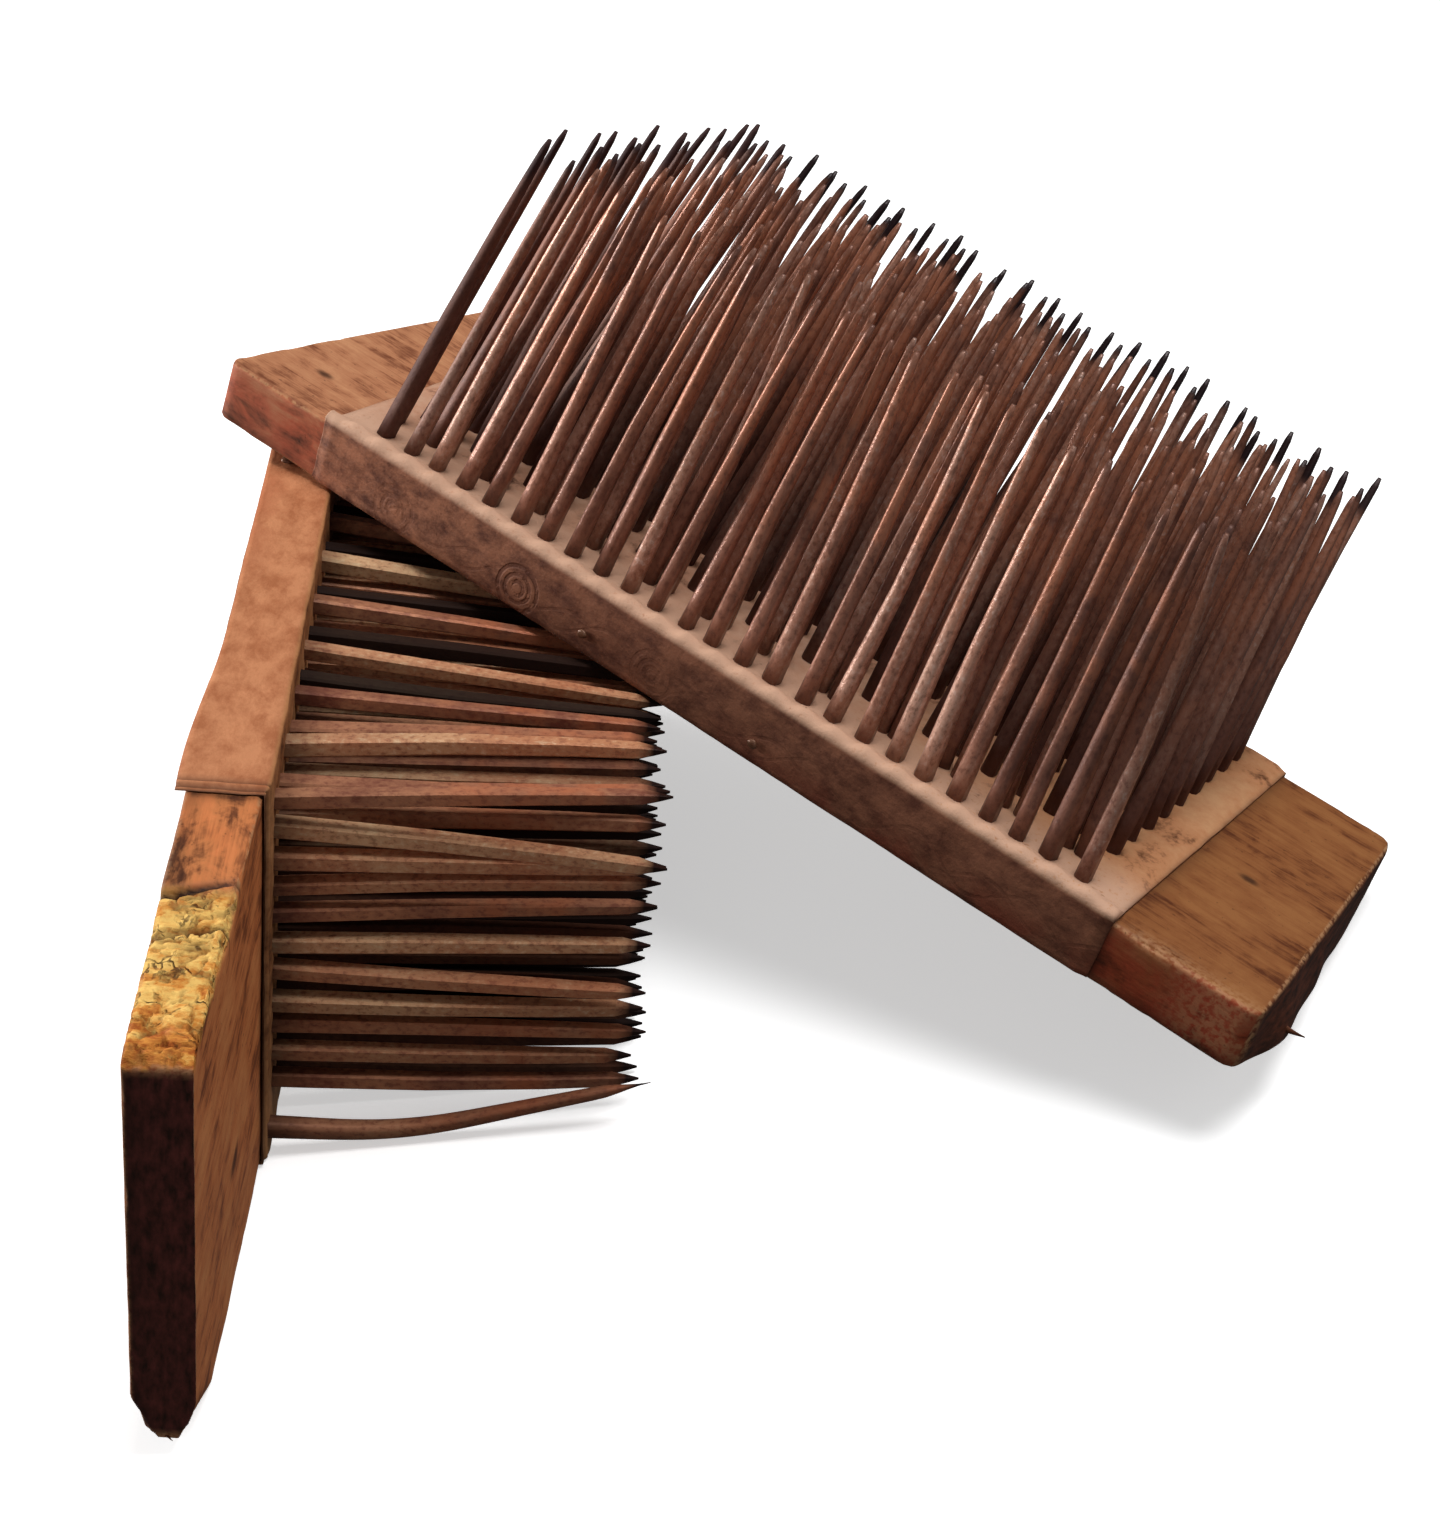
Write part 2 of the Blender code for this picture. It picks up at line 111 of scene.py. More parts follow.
class Grain:
    """Seeded smooth noise in three dimensions."""

    table_size: int = 8192
    primes: tuple[int, int, int] = (73856093, 19349663, 83492791)
    octave_shift: float = 0.37

    def __init__(self, seed: int) -> None:
        """Fill the table of lattice values from a seed."""
        self.table = np.random.default_rng(seed).random(self.table_size) * 2.0 - 1.0

    def layer(self, points: Array, scale: float) -> Array:
        """Return one octave: lattice values blended by smooth steps between cell corners.

        Args:
            points: Array of points, last axis three long, in metres.
            scale: Size of a cell in metres.

        Returns:
            Values from -1 to 1.
        """
        place = points / scale
        cell = np.floor(place).astype(np.int64)
        share = place - cell
        share = share * share * (3.0 - 2.0 * share)
        total = np.zeros(points.shape[:-1])
        for corner in np.ndindex(2, 2, 2):
            code = np.bitwise_xor.reduce((cell + np.array(corner)) * np.array(self.primes), axis=-1)
            weight = np.prod(np.where(np.array(corner) == 1, share, 1.0 - share), axis=-1)
            total += weight * self.table[code % self.table_size]
        return total

    def rough(self, points: Array, scale: float, octaves: int = 3) -> Array:
        """Return the sum of octaves, each half as large and twice as fine as the one before.

        Args:
            points: Array of points, last axis three long, in metres.
            scale: Size of a cell of the first octave in metres.
            octaves: Number of octaves.

        Returns:
            Values from about -2 to 2.
        """
        total = np.zeros(points.shape[:-1])
        for octave in range(octaves):
            total += self.layer(points + self.octave_shift * octave, scale / 2**octave) / 2**octave
        return total


@dataclass(frozen=True)
class CombFrame:
    """Place of a comb: its origin and the directions of its own axes."""

    body: str
    origin: Triple
    x_axis: Triple
    y_axis: Triple
    z_axis: Triple

    def world(self, points: Array) -> Array:
        """Return points of the comb's own frame in the row frame."""
        return points @ np.array((self.x_axis, self.y_axis, self.z_axis)) + np.array(self.origin)


def lower_frame() -> CombFrame:
    """Set the lower comb on its long edge, leaning towards its tines.

    Returns:
        The lower comb's frame.
    """
    sine, cosine = math.sin(LOWER_LEAN), math.cos(LOWER_LEAN)
    axes = (0.0, 1.0, 0.0), (sine, 0.0, cosine), (cosine, 0.0, -sine)
    return CombFrame("lower_comb", LOWER_ORIGIN, *axes)


def upper_frame() -> CombFrame:
    """Turn the upper comb, and tilt it downhill on the lower comb's edge.

    Returns:
        The upper comb's frame.
    """
    downhill = np.array((math.cos(UPPER_TILT), 0.0, -math.sin(UPPER_TILT)))
    along = np.array((0.0, 1.0, 0.0))
    up = (math.sin(UPPER_TILT), 0.0, math.cos(UPPER_TILT))
    x_axis = downhill * math.cos(UPPER_TURN) + along * math.sin(UPPER_TURN)
    y_axis = along * math.cos(UPPER_TURN) - downhill * math.sin(UPPER_TURN)
    return CombFrame("upper_comb", UPPER_ORIGIN, tuple(x_axis), tuple(y_axis), up)


@dataclass
class Skin:
    """A mesh under construction: points in a comb's frame, faces and values on the points."""

    points: Array
    faces: list[Array]
    values: dict[str, Array]
    merge_within: float = 2e-6
    dissolve_within: float = 1e-7

    @staticmethod
    def bundle(rings: Array, values: dict[str, Array], cap: bool = True) -> "Skin":
        """Join neighbouring rings of many tubes by quads.

        Args:
            rings: Points as tubes by rings by points of a ring by three.
            values: Values on the points, as tubes by rings by points of a ring.
            cap: Whether the first and last rings of a tube are closed by one face each.

        Returns:
            One skin that holds all the tubes.
        """
        tubes, count, sides = rings.shape[:3]
        index = np.arange(tubes * count * sides).reshape(tubes, count, sides)
        after = np.roll(index, -1, axis=2)
        quads = np.stack((index[:, :-1], after[:, :-1], after[:, 1:], index[:, 1:]), axis=-1)
        faces = [quads.reshape(-1, 4)]
        if cap:
            faces += [index[:, 0, ::-1], index[:, -1]]
        flat = {name: value.reshape(-1) for name, value in values.items()}
        return Skin(rings.reshape(-1, 3), faces, flat)

    @staticmethod
    def tube(rings: Array, values: dict[str, Array], cap: bool = True) -> "Skin":
        """Join the rings of one tube, with points and values as rings by points of a ring."""
        return Skin.bundle(rings[None], values, cap)

    def piece(self, name: str, place: CombFrame, material: bpy.types.Material,
              smooth: bool = True) -> bpy.types.Object:
        """Make the object: doubles merged, faces outwards, own coordinates kept.

        Args:
            name: Name of the piece.
            place: Frame that the points are carried to.
            material: Finish of the piece.
            smooth: Whether its faces are shaded as one round surface.

        Returns:
            The object, at the origin.
        """
        mesh = bpy.data.meshes.new(name)
        faces = [face for block in self.faces for face in block.tolist()]
        mesh.from_pydata(place.world(self.points).tolist(), [], faces)
        spot = mesh.attributes.new("spot", "FLOAT_VECTOR", "POINT")
        spot.data.foreach_set("vector", self.points.astype(np.float32).reshape(-1))
        for label, value in self.values.items():
            layer = mesh.attributes.new(label, "FLOAT", "POINT")
            layer.data.foreach_set("value", value.astype(np.float32))
        shape = bmesh.new()
        shape.from_mesh(mesh)
        bmesh.ops.remove_doubles(shape, verts=shape.verts, dist=self.merge_within)
        bmesh.ops.dissolve_degenerate(shape, edges=shape.edges, dist=self.dissolve_within)
        bmesh.ops.recalc_face_normals(shape, faces=shape.faces)
        shape.to_mesh(mesh)
        shape.free()
        mesh.polygons.foreach_set("use_smooth", np.full(len(mesh.polygons), smooth))
        mesh.materials.append(material)
        made = bpy.data.objects.new(name, mesh)
        bpy.context.scene.collection.objects.link(made)
        return made


def hand_over(piece: bpy.types.Object, place: CombFrame, slot: Slot, *nodes: str) -> None:
    """Let a piece ride on its comb and stand for its solids, and report it.

    Args:
        piece: The finished object.
        place: Frame of its comb.
        slot: Material slot of the record; not used.
        nodes: Solids that it stands for, none for a piece of the looks alone.
    """
    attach(piece, place.body)
    if nodes:
        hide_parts(*nodes)
    LOG.info("%s: %d faces", piece.name, len(piece.data.polygons))


# Shader expressions


class Wire:
    """A socket of a material's node tree, with arithmetic that adds Math nodes."""

    def __init__(self, sheet: "Palette", socket: bpy.types.NodeSocket) -> None:
        """Keep the socket and the tree that it belongs to."""
        self.sheet = sheet
        self.socket = socket

    def math(self, operation: str, *values: object, clamp: bool = False) -> "Wire":
        """Add a Math node on this value and the given ones."""
        settings = {"operation": operation, "use_clamp": clamp}
        return self.sheet.node("ShaderNodeMath", settings, dict(enumerate((self, *values))))

    def __add__(self, other: object) -> "Wire":
        """Return the sum."""
        return self.math("ADD", other)

    __radd__ = __add__

    def __mul__(self, other: object) -> "Wire":
        """Return the product."""
        return self.math("MULTIPLY", other)

    __rmul__ = __mul__

    def __sub__(self, other: object) -> "Wire":
        """Return the difference."""
        return self.math("SUBTRACT", other)

    def __rsub__(self, other: float) -> "Wire":
        """Return a number less this value."""
        return self.sheet.node("ShaderNodeMath", {"operation": "SUBTRACT"}, {0: other, 1: self})

    def __truediv__(self, other: object) -> "Wire":
        """Return the quotient."""
        return self.math("DIVIDE", other)

    def __pow__(self, other: object) -> "Wire":
        """Return the power."""
        return self.math("POWER", other)

    def __abs__(self) -> "Wire":
        """Return the value without its sign."""
        return self.math("ABSOLUTE")

    def step(self, low: float, high: float) -> "Wire":
        """Return a smooth step from 0 at low to 1 at high."""
        values = {"Value": self, "From Min": low, "From Max": high, "To Min": 0.0, "To Max": 1.0}
        return self.sheet.node("ShaderNodeMapRange", {"interpolation_type": "SMOOTHSTEP"}, values)


class Palette:
    """Builder of one material's node tree."""

    def __init__(self, name: str) -> None:
        """Make an empty material with its output and its shader.

        Args:
            name: Name of the material.
        """
        self.material = bpy.data.materials.new(name)
        self.material.use_nodes = True
        self.tree = self.material.node_tree
        self.tree.nodes.clear()
        self.shader = self.tree.nodes.new("ShaderNodeBsdfPrincipled")
        output = self.tree.nodes.new("ShaderNodeOutputMaterial")
        self.tree.links.new(self.shader.outputs["BSDF"], output.inputs["Surface"])

    def node(self, kind: str, settings: dict, values: dict, out: object = 0) -> Wire:
        """Add a node.

        Args:
            kind: Blender's name of the node's type.
            settings: Properties of the node, set first; "stops" fills a colour ramp.
            values: Sockets by name or number, each a number, a colour or a wire.
            out: Name or number of the output that is wanted.

        Returns:
            The wanted output.
        """
        made = self.tree.nodes.new(kind)
        for key, setting in settings.items():
            if key == "stops":
                self.fill_ramp(made.color_ramp, setting)
            else:
                setattr(made, key, setting)
        for key, value in values.items():
            self.put(made.inputs[key], value)
        return Wire(self, made.outputs[out])

    def put(self, socket: bpy.types.NodeSocket, value: object) -> None:
        """Link a wire to a socket, or set its number or colour.

        Args:
            socket: Input of a node.
            value: A wire, a number or a colour.
        """
        if isinstance(value, Wire):
            self.tree.links.new(value.socket, socket)
        elif isinstance(value, tuple) and len(value) == 3 and socket.type == "RGBA":
            socket.default_value = (*value, 1.0)
        else:
            socket.default_value = value

    @staticmethod
    def fill_ramp(ramp: bpy.types.ColorRamp, stops: list[tuple[float, Colour]]) -> None:
        """Set the stops of a colour ramp.

        Args:
            ramp: The ramp.
            stops: Places from 0 to 1, each with its colour.
        """
        while len(ramp.elements) < len(stops):
            ramp.elements.new(0.5)
        for element, (place, colour) in zip(ramp.elements, stops):
            element.position = place
            element.color = (*colour, 1.0)

    def value(self, name: str) -> Wire:
        """Return a value that the mesh carries."""
        return self.node("ShaderNodeAttribute", {"attribute_name": name}, {}, "Fac")

    def spot(self, stretch: Triple = (1.0, 1.0, 1.0)) -> Wire:
        """Return the point in the comb's own frame, stretched along its axes."""
        place = self.node("ShaderNodeAttribute", {"attribute_name": "spot"}, {}, "Vector")
        return self.node("ShaderNodeVectorMath", {"operation": "MULTIPLY"}, {0: place, 1: stretch})

    def axis(self, letter: str) -> Wire:
        """Return one coordinate of the comb's own frame."""
        return self.node("ShaderNodeSeparateXYZ", {}, {0: self.spot()}, letter)

    def noise(self, place: Wire, scale: float, detail: float = 3.0, rough: float = 0.55,
              warp: float = 0.0) -> Wire:
        """Return noise from about 0 to 1 at a place.

        Args:
            place: Where the noise is read.
            scale: Cells to a metre.
            detail: Number of finer octaves.
            rough: Share that each octave keeps of the one before.
            warp: How far the noise is bent by itself.

        Returns:
            The noise.
        """
        values = {"Vector": place, "Scale": scale, "Detail": detail, "Roughness": rough}
        return self.node("ShaderNodeTexNoise", {}, {**values, "Distortion": warp}, "Fac")

    def cells(self, place: Wire, scale: float, feature: str, out: str) -> Wire:
        """Return a value of cell noise at a place."""
        values = {"Vector": place, "Scale": scale}
        return self.node("ShaderNodeTexVoronoi", {"feature": feature}, values, out)

    def warped(self, place: Wire, scale: float, reach: float) -> Wire:
        """Return a place moved about by noise.

        Args:
            place: The place.
            scale: Cells of the noise to a metre.
            reach: How far the noise moves the place, in metres.

        Returns:
            The moved place.
        """
        drift = self.node("ShaderNodeTexNoise", {}, {"Vector": place, "Scale": scale}, "Color")
        values = {0: drift, 1: (reach, reach, reach), 2: place}
        return self.node("ShaderNodeVectorMath", {"operation": "MULTIPLY_ADD"}, values)

    def ramp(self, share: Wire, stops: list[tuple[float, Colour]]) -> Wire:
        """Return a colour from a ramp."""
        return self.node("ShaderNodeValToRGB", {"stops": stops}, {"Fac": share}, "Color")

    def mix(self, share: object, first: object, second: object, way: str = "MIX") -> Wire:
        """Return a blend of two colours."""
        settings = {"data_type": "RGBA", "blend_type": way, "clamp_factor": True}
        return self.node("ShaderNodeMix", settings, {0: share, 6: first, 7: second}, 2)

    def bump(self, height: Wire, depth: float, strength: object = 1.0, under: Wire | None = None) -> Wire:
        """Return a normal from a height.

        Args:
            height: The height, from about 0 to 1.
            depth: Metres that a height of 1 stands for.
            strength: Share of the bump that is used.
            under: Normal that the bump lies on.

        Returns:
            The normal.
        """
        values = {"Height": height, "Distance": depth, "Strength": strength}
        if under is not None:
            values["Normal"] = under
        return self.node("ShaderNodeBump", {}, values)

    def finish(self, **sockets: object) -> bpy.types.Material:
        """Set the shader's sockets.

        Args:
            sockets: Values by the sockets' names, with underscores for spaces.

        Returns:
            The material.
        """
        for key, value in sockets.items():
            self.put(self.shader.inputs[key.replace("_", " ")], value)
        return self.material


@dataclass(frozen=True)
class WoodFinish:
    """Old wood: mottled grain, red flanks, torn raw wood and dark end grain."""

    name: str
    pale: Colour
    middle: Colour
    dark: Colour
    flank: Colour
    end: Colour
    far_tint: Colour = (1.0, 1.0, 1.0)
    far_from: float = 0.12
    far_to: float = 0.25
    knots: tuple[Triple, ...] = ()
    contrast: float = 0.16
    far_flank: Colour = (1.0, 1.0, 1.0)
    raw_pale: Colour = paint(254, 206, 116)
    raw_middle: Colour = paint(228, 150, 66)
    raw_dark: Colour = paint(176, 92, 34)
    crease: Colour = paint(72, 36, 15)
    grime: Colour = paint(46, 24, 15)
    rubbed: Colour = paint(206, 156, 112)

    def torn(self, pal: Palette) -> tuple[Wire, Wire]:
        """Return colour and height of torn wood: the mesh's own flakes, streaked with fine fibres.

        Args:
            pal: Node tree that the nodes go into.

        Returns:
            The colour and the height.
        """
        fibre = pal.noise(pal.spot((1.0, 1.0, 0.45)), 640.0, 4.0, 0.65, 0.2)
        tone = pal.value("flake") * 0.16 + fibre * 0.62 + pal.axis("X").step(0.004, 0.030) * 0.14
        stops = [(0.28, self.raw_dark), (0.42, self.raw_middle), (0.56, self.raw_pale)]
        colour = pal.ramp(tone, stops)
        place = pal.warped(pal.spot((0.8, 1.0, 1.0)), 240.0, 0.0065)
        edge = pal.cells(place, 220.0, "DISTANCE_TO_EDGE", "Distance")
        broken = pal.noise(pal.spot(), 160.0, 3.0, 0.6).step(0.47, 0.64)
        split = (1.0 - edge.step(0.01, 0.08)) * broken
        split = split.math("MAXIMUM", pal.value("crease") * (0.55 + fibre * 0.45))
        colour = pal.mix(split * 0.9, colour, self.crease)
        return colour, fibre - split * 0.8

    def make(self) -> bpy.types.Material:
        """Return the material.

        Long noise along the board draws the grain, fine noise its fibres and wide noise its stains.
        The mesh gives where the wood is raw, worn, dirty, a flank or an end.

        Returns:
            The material.
        """
        pal = Palette(self.name)
        grain = pal.noise(pal.spot((0.10, 1.0, 1.0)), 210.0, 4.0, 0.6, 0.8)
        fibre = pal.noise(pal.spot((0.04, 1.0, 1.0)), 1500.0, 2.0, 0.6)
        stain = pal.noise(pal.spot(), 38.0, 4.0, 0.62, 0.3)
        mottle = pal.noise(pal.spot((0.6, 1.0, 1.0)), 150.0, 4.0, 0.65, 0.4)
        fleck = pal.noise(pal.spot(), 620.0, 2.0, 0.6)
        tone = grain * 0.26 + fibre * 0.14 + stain * 0.30 + mottle * 0.30
        colour = pal.ramp(tone, [(0.41, self.dark), (0.48, self.middle), (0.57, self.pale)])
        far = pal.axis("X").step(self.far_from, self.far_to)
        colour = pal.mix(far, colour, pal.mix(1.0, colour, self.far_tint, "MULTIPLY"))
        for x, y, size in self.knots:
            run, rise = (pal.axis("X") - x) * 0.55, pal.axis("Y") - y
            reach = (run * run + rise * rise) ** 0.5 + fleck * 0.0006
            colour = pal.mix((1.0 - reach.step(size * 0.3, size)) * 0.8, colour, self.grime)
        flank = pal.value("flank") * stain.step(0.20, 0.60)
        dark_side, pale_side = (0.50 - self.contrast, self.grime), (0.50 + self.contrast, self.middle)
        side = pal.ramp(mottle * 0.6 + grain * 0.4, [dark_side, (0.50, self.flank), pale_side])
        side = pal.mix(far, side, pal.mix(1.0, side, self.far_flank, "MULTIPLY"))
        colour = pal.mix(flank * 0.85, colour, side)
        across = pal.noise(pal.spot((1.0, 0.5, 1.4)), 420.0, 3.0)
        rings = pal.ramp(across, [(0.3, self.grime), (0.7, self.end)])
        colour = pal.mix(pal.value("end"), colour, rings)
        raw = pal.value("raw")
        torn, fibres = self.torn(pal)
        colour = pal.mix(raw, colour, torn)
        colour = pal.mix(pal.value("worn") * fleck.step(0.36, 0.58) * 0.7, colour, self.rubbed)
        # The dirt value holds dirt, painted shade beside the sheet and darkened cracks.
        dirt = pal.value("dirt") * stain.step(0.25, 0.55)
        colour = pal.mix(dirt, colour, self.grime)
        colour = pal.mix(fleck.step(0.66, 0.74) * 0.45, colour, self.grime)
        first = pal.bump(grain * 0.35 + fibre * 0.3 + fleck * 0.35, 0.00030, 0.6)
        normal = pal.bump(fibres, 0.0008, raw, first)
        rough = 0.50 + stain * 0.22 + raw * 0.2
        return pal.finish(Base_Color=colour, Roughness=rough, Normal=normal, Specular_IOR_Level=0.2)


@dataclass(frozen=True)
class HideFinish:
    """Thin hide: pale where it is rubbed and, on its near margin, paler with painted light; grey-brown on
    the flanks, marked with worn rings.
    """

    name: str
    pale: Colour
    middle: Colour
    dark: Colour
    flank_pale: Colour
    flank_dark: Colour
    red: Colour
    rings: tuple[Span, ...]
    fade: float
    far_tint: Colour = (1.0, 1.0, 1.0)
    ring_height: float = -0.0100
    radii: tuple[float, ...] = (0.0018, 0.0036, 0.0058)
    waves: tuple[Span, ...] = ((0.0, 0.0036), (2.1, 0.0028))
    wave_depth: float = 0.28

    def ornament(self, pal: Palette) -> Wire:
        """Return how deep the incised marks are: rings about points, and a waving band.

        Args:
            pal: Node tree that the nodes go into.

        Returns:
            The depth, from 0 to 1.
        """
        along, up = pal.axis("X"), pal.axis("Z")
        lines = None
        for place, depth in self.rings:
            run = along - place
            rise = up - self.ring_height
            reach = (run * run + rise * rise) ** 0.5
            for radius in self.radii:
                line = (1.0 - abs(reach - radius).step(0.0003, 0.0008)) * depth
                lines = line if lines is None else lines.math("MAXIMUM", line)
        for shift, size in self.waves:
            wave = (along * 210.0 + shift).math("SINE") * size + self.ring_height
            line = 1.0 - abs(up - wave).step(0.0002, 0.0007)
            lines = lines.math("MAXIMUM", line * self.wave_depth)
        return lines

    def make(self) -> bpy.types.Material:
        """Make mottled hide, darkened round the tines by dirt and painted shade, and marked on the near
        flank.

        Returns:
            The material.
        """
        pal = Palette(self.name)
        place = pal.spot()
        stain = pal.noise(place, 60.0, 5.0, 0.62, 0.1)
        pores = pal.noise(place, 900.0, 2.0, 0.6)
        fleck = pal.noise(place, 330.0, 3.0, 0.65)
        tone = stain * 0.6 + fleck * 0.4
        colour = pal.ramp(tone, [(0.32, self.dark), (0.44, self.middle), (0.64, self.pale)])
        golden = pal.mix(1.0, colour, self.far_tint, "MULTIPLY")
        colour = pal.mix(pal.axis("X").step(0.16, 0.25), colour, golden)
        flank = pal.value("flank")
        streak = pal.noise(pal.spot((0.60, 1.0, 1.0)), 230.0, 5.0, 0.68, 0.1)
        flank_tone = streak * 0.75 + stain * 0.25
        flank_colour = pal.ramp(flank_tone, [(0.39, self.flank_dark), (0.59, self.flank_pale)])
        low = 1.0 - pal.axis("Z").step(-0.0160, -0.0060)
        redness = low * stain.step(0.42, 0.58) * pal.axis("X").step(0.13, 0.22)
        flank_colour = pal.mix(redness * 0.75, flank_colour, self.red)
        colour = pal.mix(flank, colour, flank_colour)
        marks = self.ornament(pal) * pal.value("marked") * fleck.step(0.32, 0.56) * stain.step(0.30, 0.50)
        colour = pal.mix(marks * 0.66, colour, self.flank_dark)
        far = pal.axis("X").step(0.05, 0.13) * flank * self.fade
        colour = pal.mix(far, colour, self.flank_dark)
        # Paler where worn; along the near margin this paleness is wear and painted light.
        colour = pal.mix(pal.value("worn") * pores.step(0.20, 0.45), colour, self.pale)
        # The dirt value is dirt with painted shade round the tines and in the grooves.
        dirt = pal.value("dirt")
        colour = pal.mix(dirt * (0.55 + stain * 0.45), colour, self.dark)
        height = fleck * 0.6 + pores * 0.4 - marks * 0.8
        normal = pal.bump(height, 0.00040, 0.7)
        rough = 0.55 + stain * 0.3
        return pal.finish(Base_Color=colour, Roughness=rough, Normal=normal, Specular_IOR_Level=0.2)


@dataclass(frozen=True)
class IronFinish:
    """Forged iron with a rust-brown skin, dark at the points."""

    name: str
    skin: Colour
    rust: Colour
    ochre: Colour
    bloom: Colour
    shine: Colour
    point: Colour
    shadow: Colour = paint(26, 13, 11)
    dents: float = 0.00030
    gloss: float = 0.5
    tip_from: float = 0.84

    def make(self) -> bpy.types.Material:
        """Make a dull skin, each tine of its own tone, rusty above and dark to the point, with painted
        glints and painted shade.

        Returns:
            The material.
        """
        pal = Palette(self.name)
        own = pal.value("own")
        run = pal.value("run")
        patch = pal.noise(pal.spot(), 55.0, 3.0, 0.6)
        speck = pal.noise(pal.spot((1.0, 1.0, 0.7)), 780.0, 3.0, 0.65)
        pit = pal.noise(pal.spot(), 1900.0, 2.0, 0.6)
        tone = patch * 0.45 + speck * 0.25 + own * 0.30
        colour = pal.ramp(tone, [(0.28, self.skin), (0.50, self.rust), (0.74, self.ochre)])
        bloom = run.step(0.25, 0.60) * patch.step(0.40, 0.58)
        colour = pal.mix(bloom * 0.60, colour, self.bloom)
        # Painted glints: pale specks mixed towards the shine colour, more on some tines than on others.
        painted_glint = speck.step(0.54, 0.70) * own.step(0.30, 0.90)
        colour = pal.mix(painted_glint * 0.36, colour, self.shine)
        colour = pal.mix((1.0 - speck.step(0.34, 0.48)) * 0.45, colour, self.skin)
        tip = run.step(self.tip_from, self.tip_from + 0.07) * pal.value("tip") + run.step(0.95, 1.0) * 0.5
        colour = pal.mix(tip, colour, self.point)
        colour = pal.mix((1.0 - run.step(0.0, 0.12)) * 0.62, colour, self.point)
        # Painted shade: tines are mixed towards the shadow colour by their shade value.
        colour = pal.mix(pal.value("shade"), colour, self.shadow)
        dint = pal.noise(pal.spot((1.0, 1.0, 0.5)), 260.0, 3.0, 0.6)
        normal = pal.bump(pit * 0.4 + speck * 0.4 + dint * 0.4, self.dents, 0.7)
        rough = 0.20 + patch * 0.16 + speck * 0.14 + pal.value("shade") * 0.45
        return pal.finish(Base_Color=colour, Roughness=rough, Metallic=0.22, Normal=normal,
                          Specular_IOR_Level=self.gloss)


# Pieces


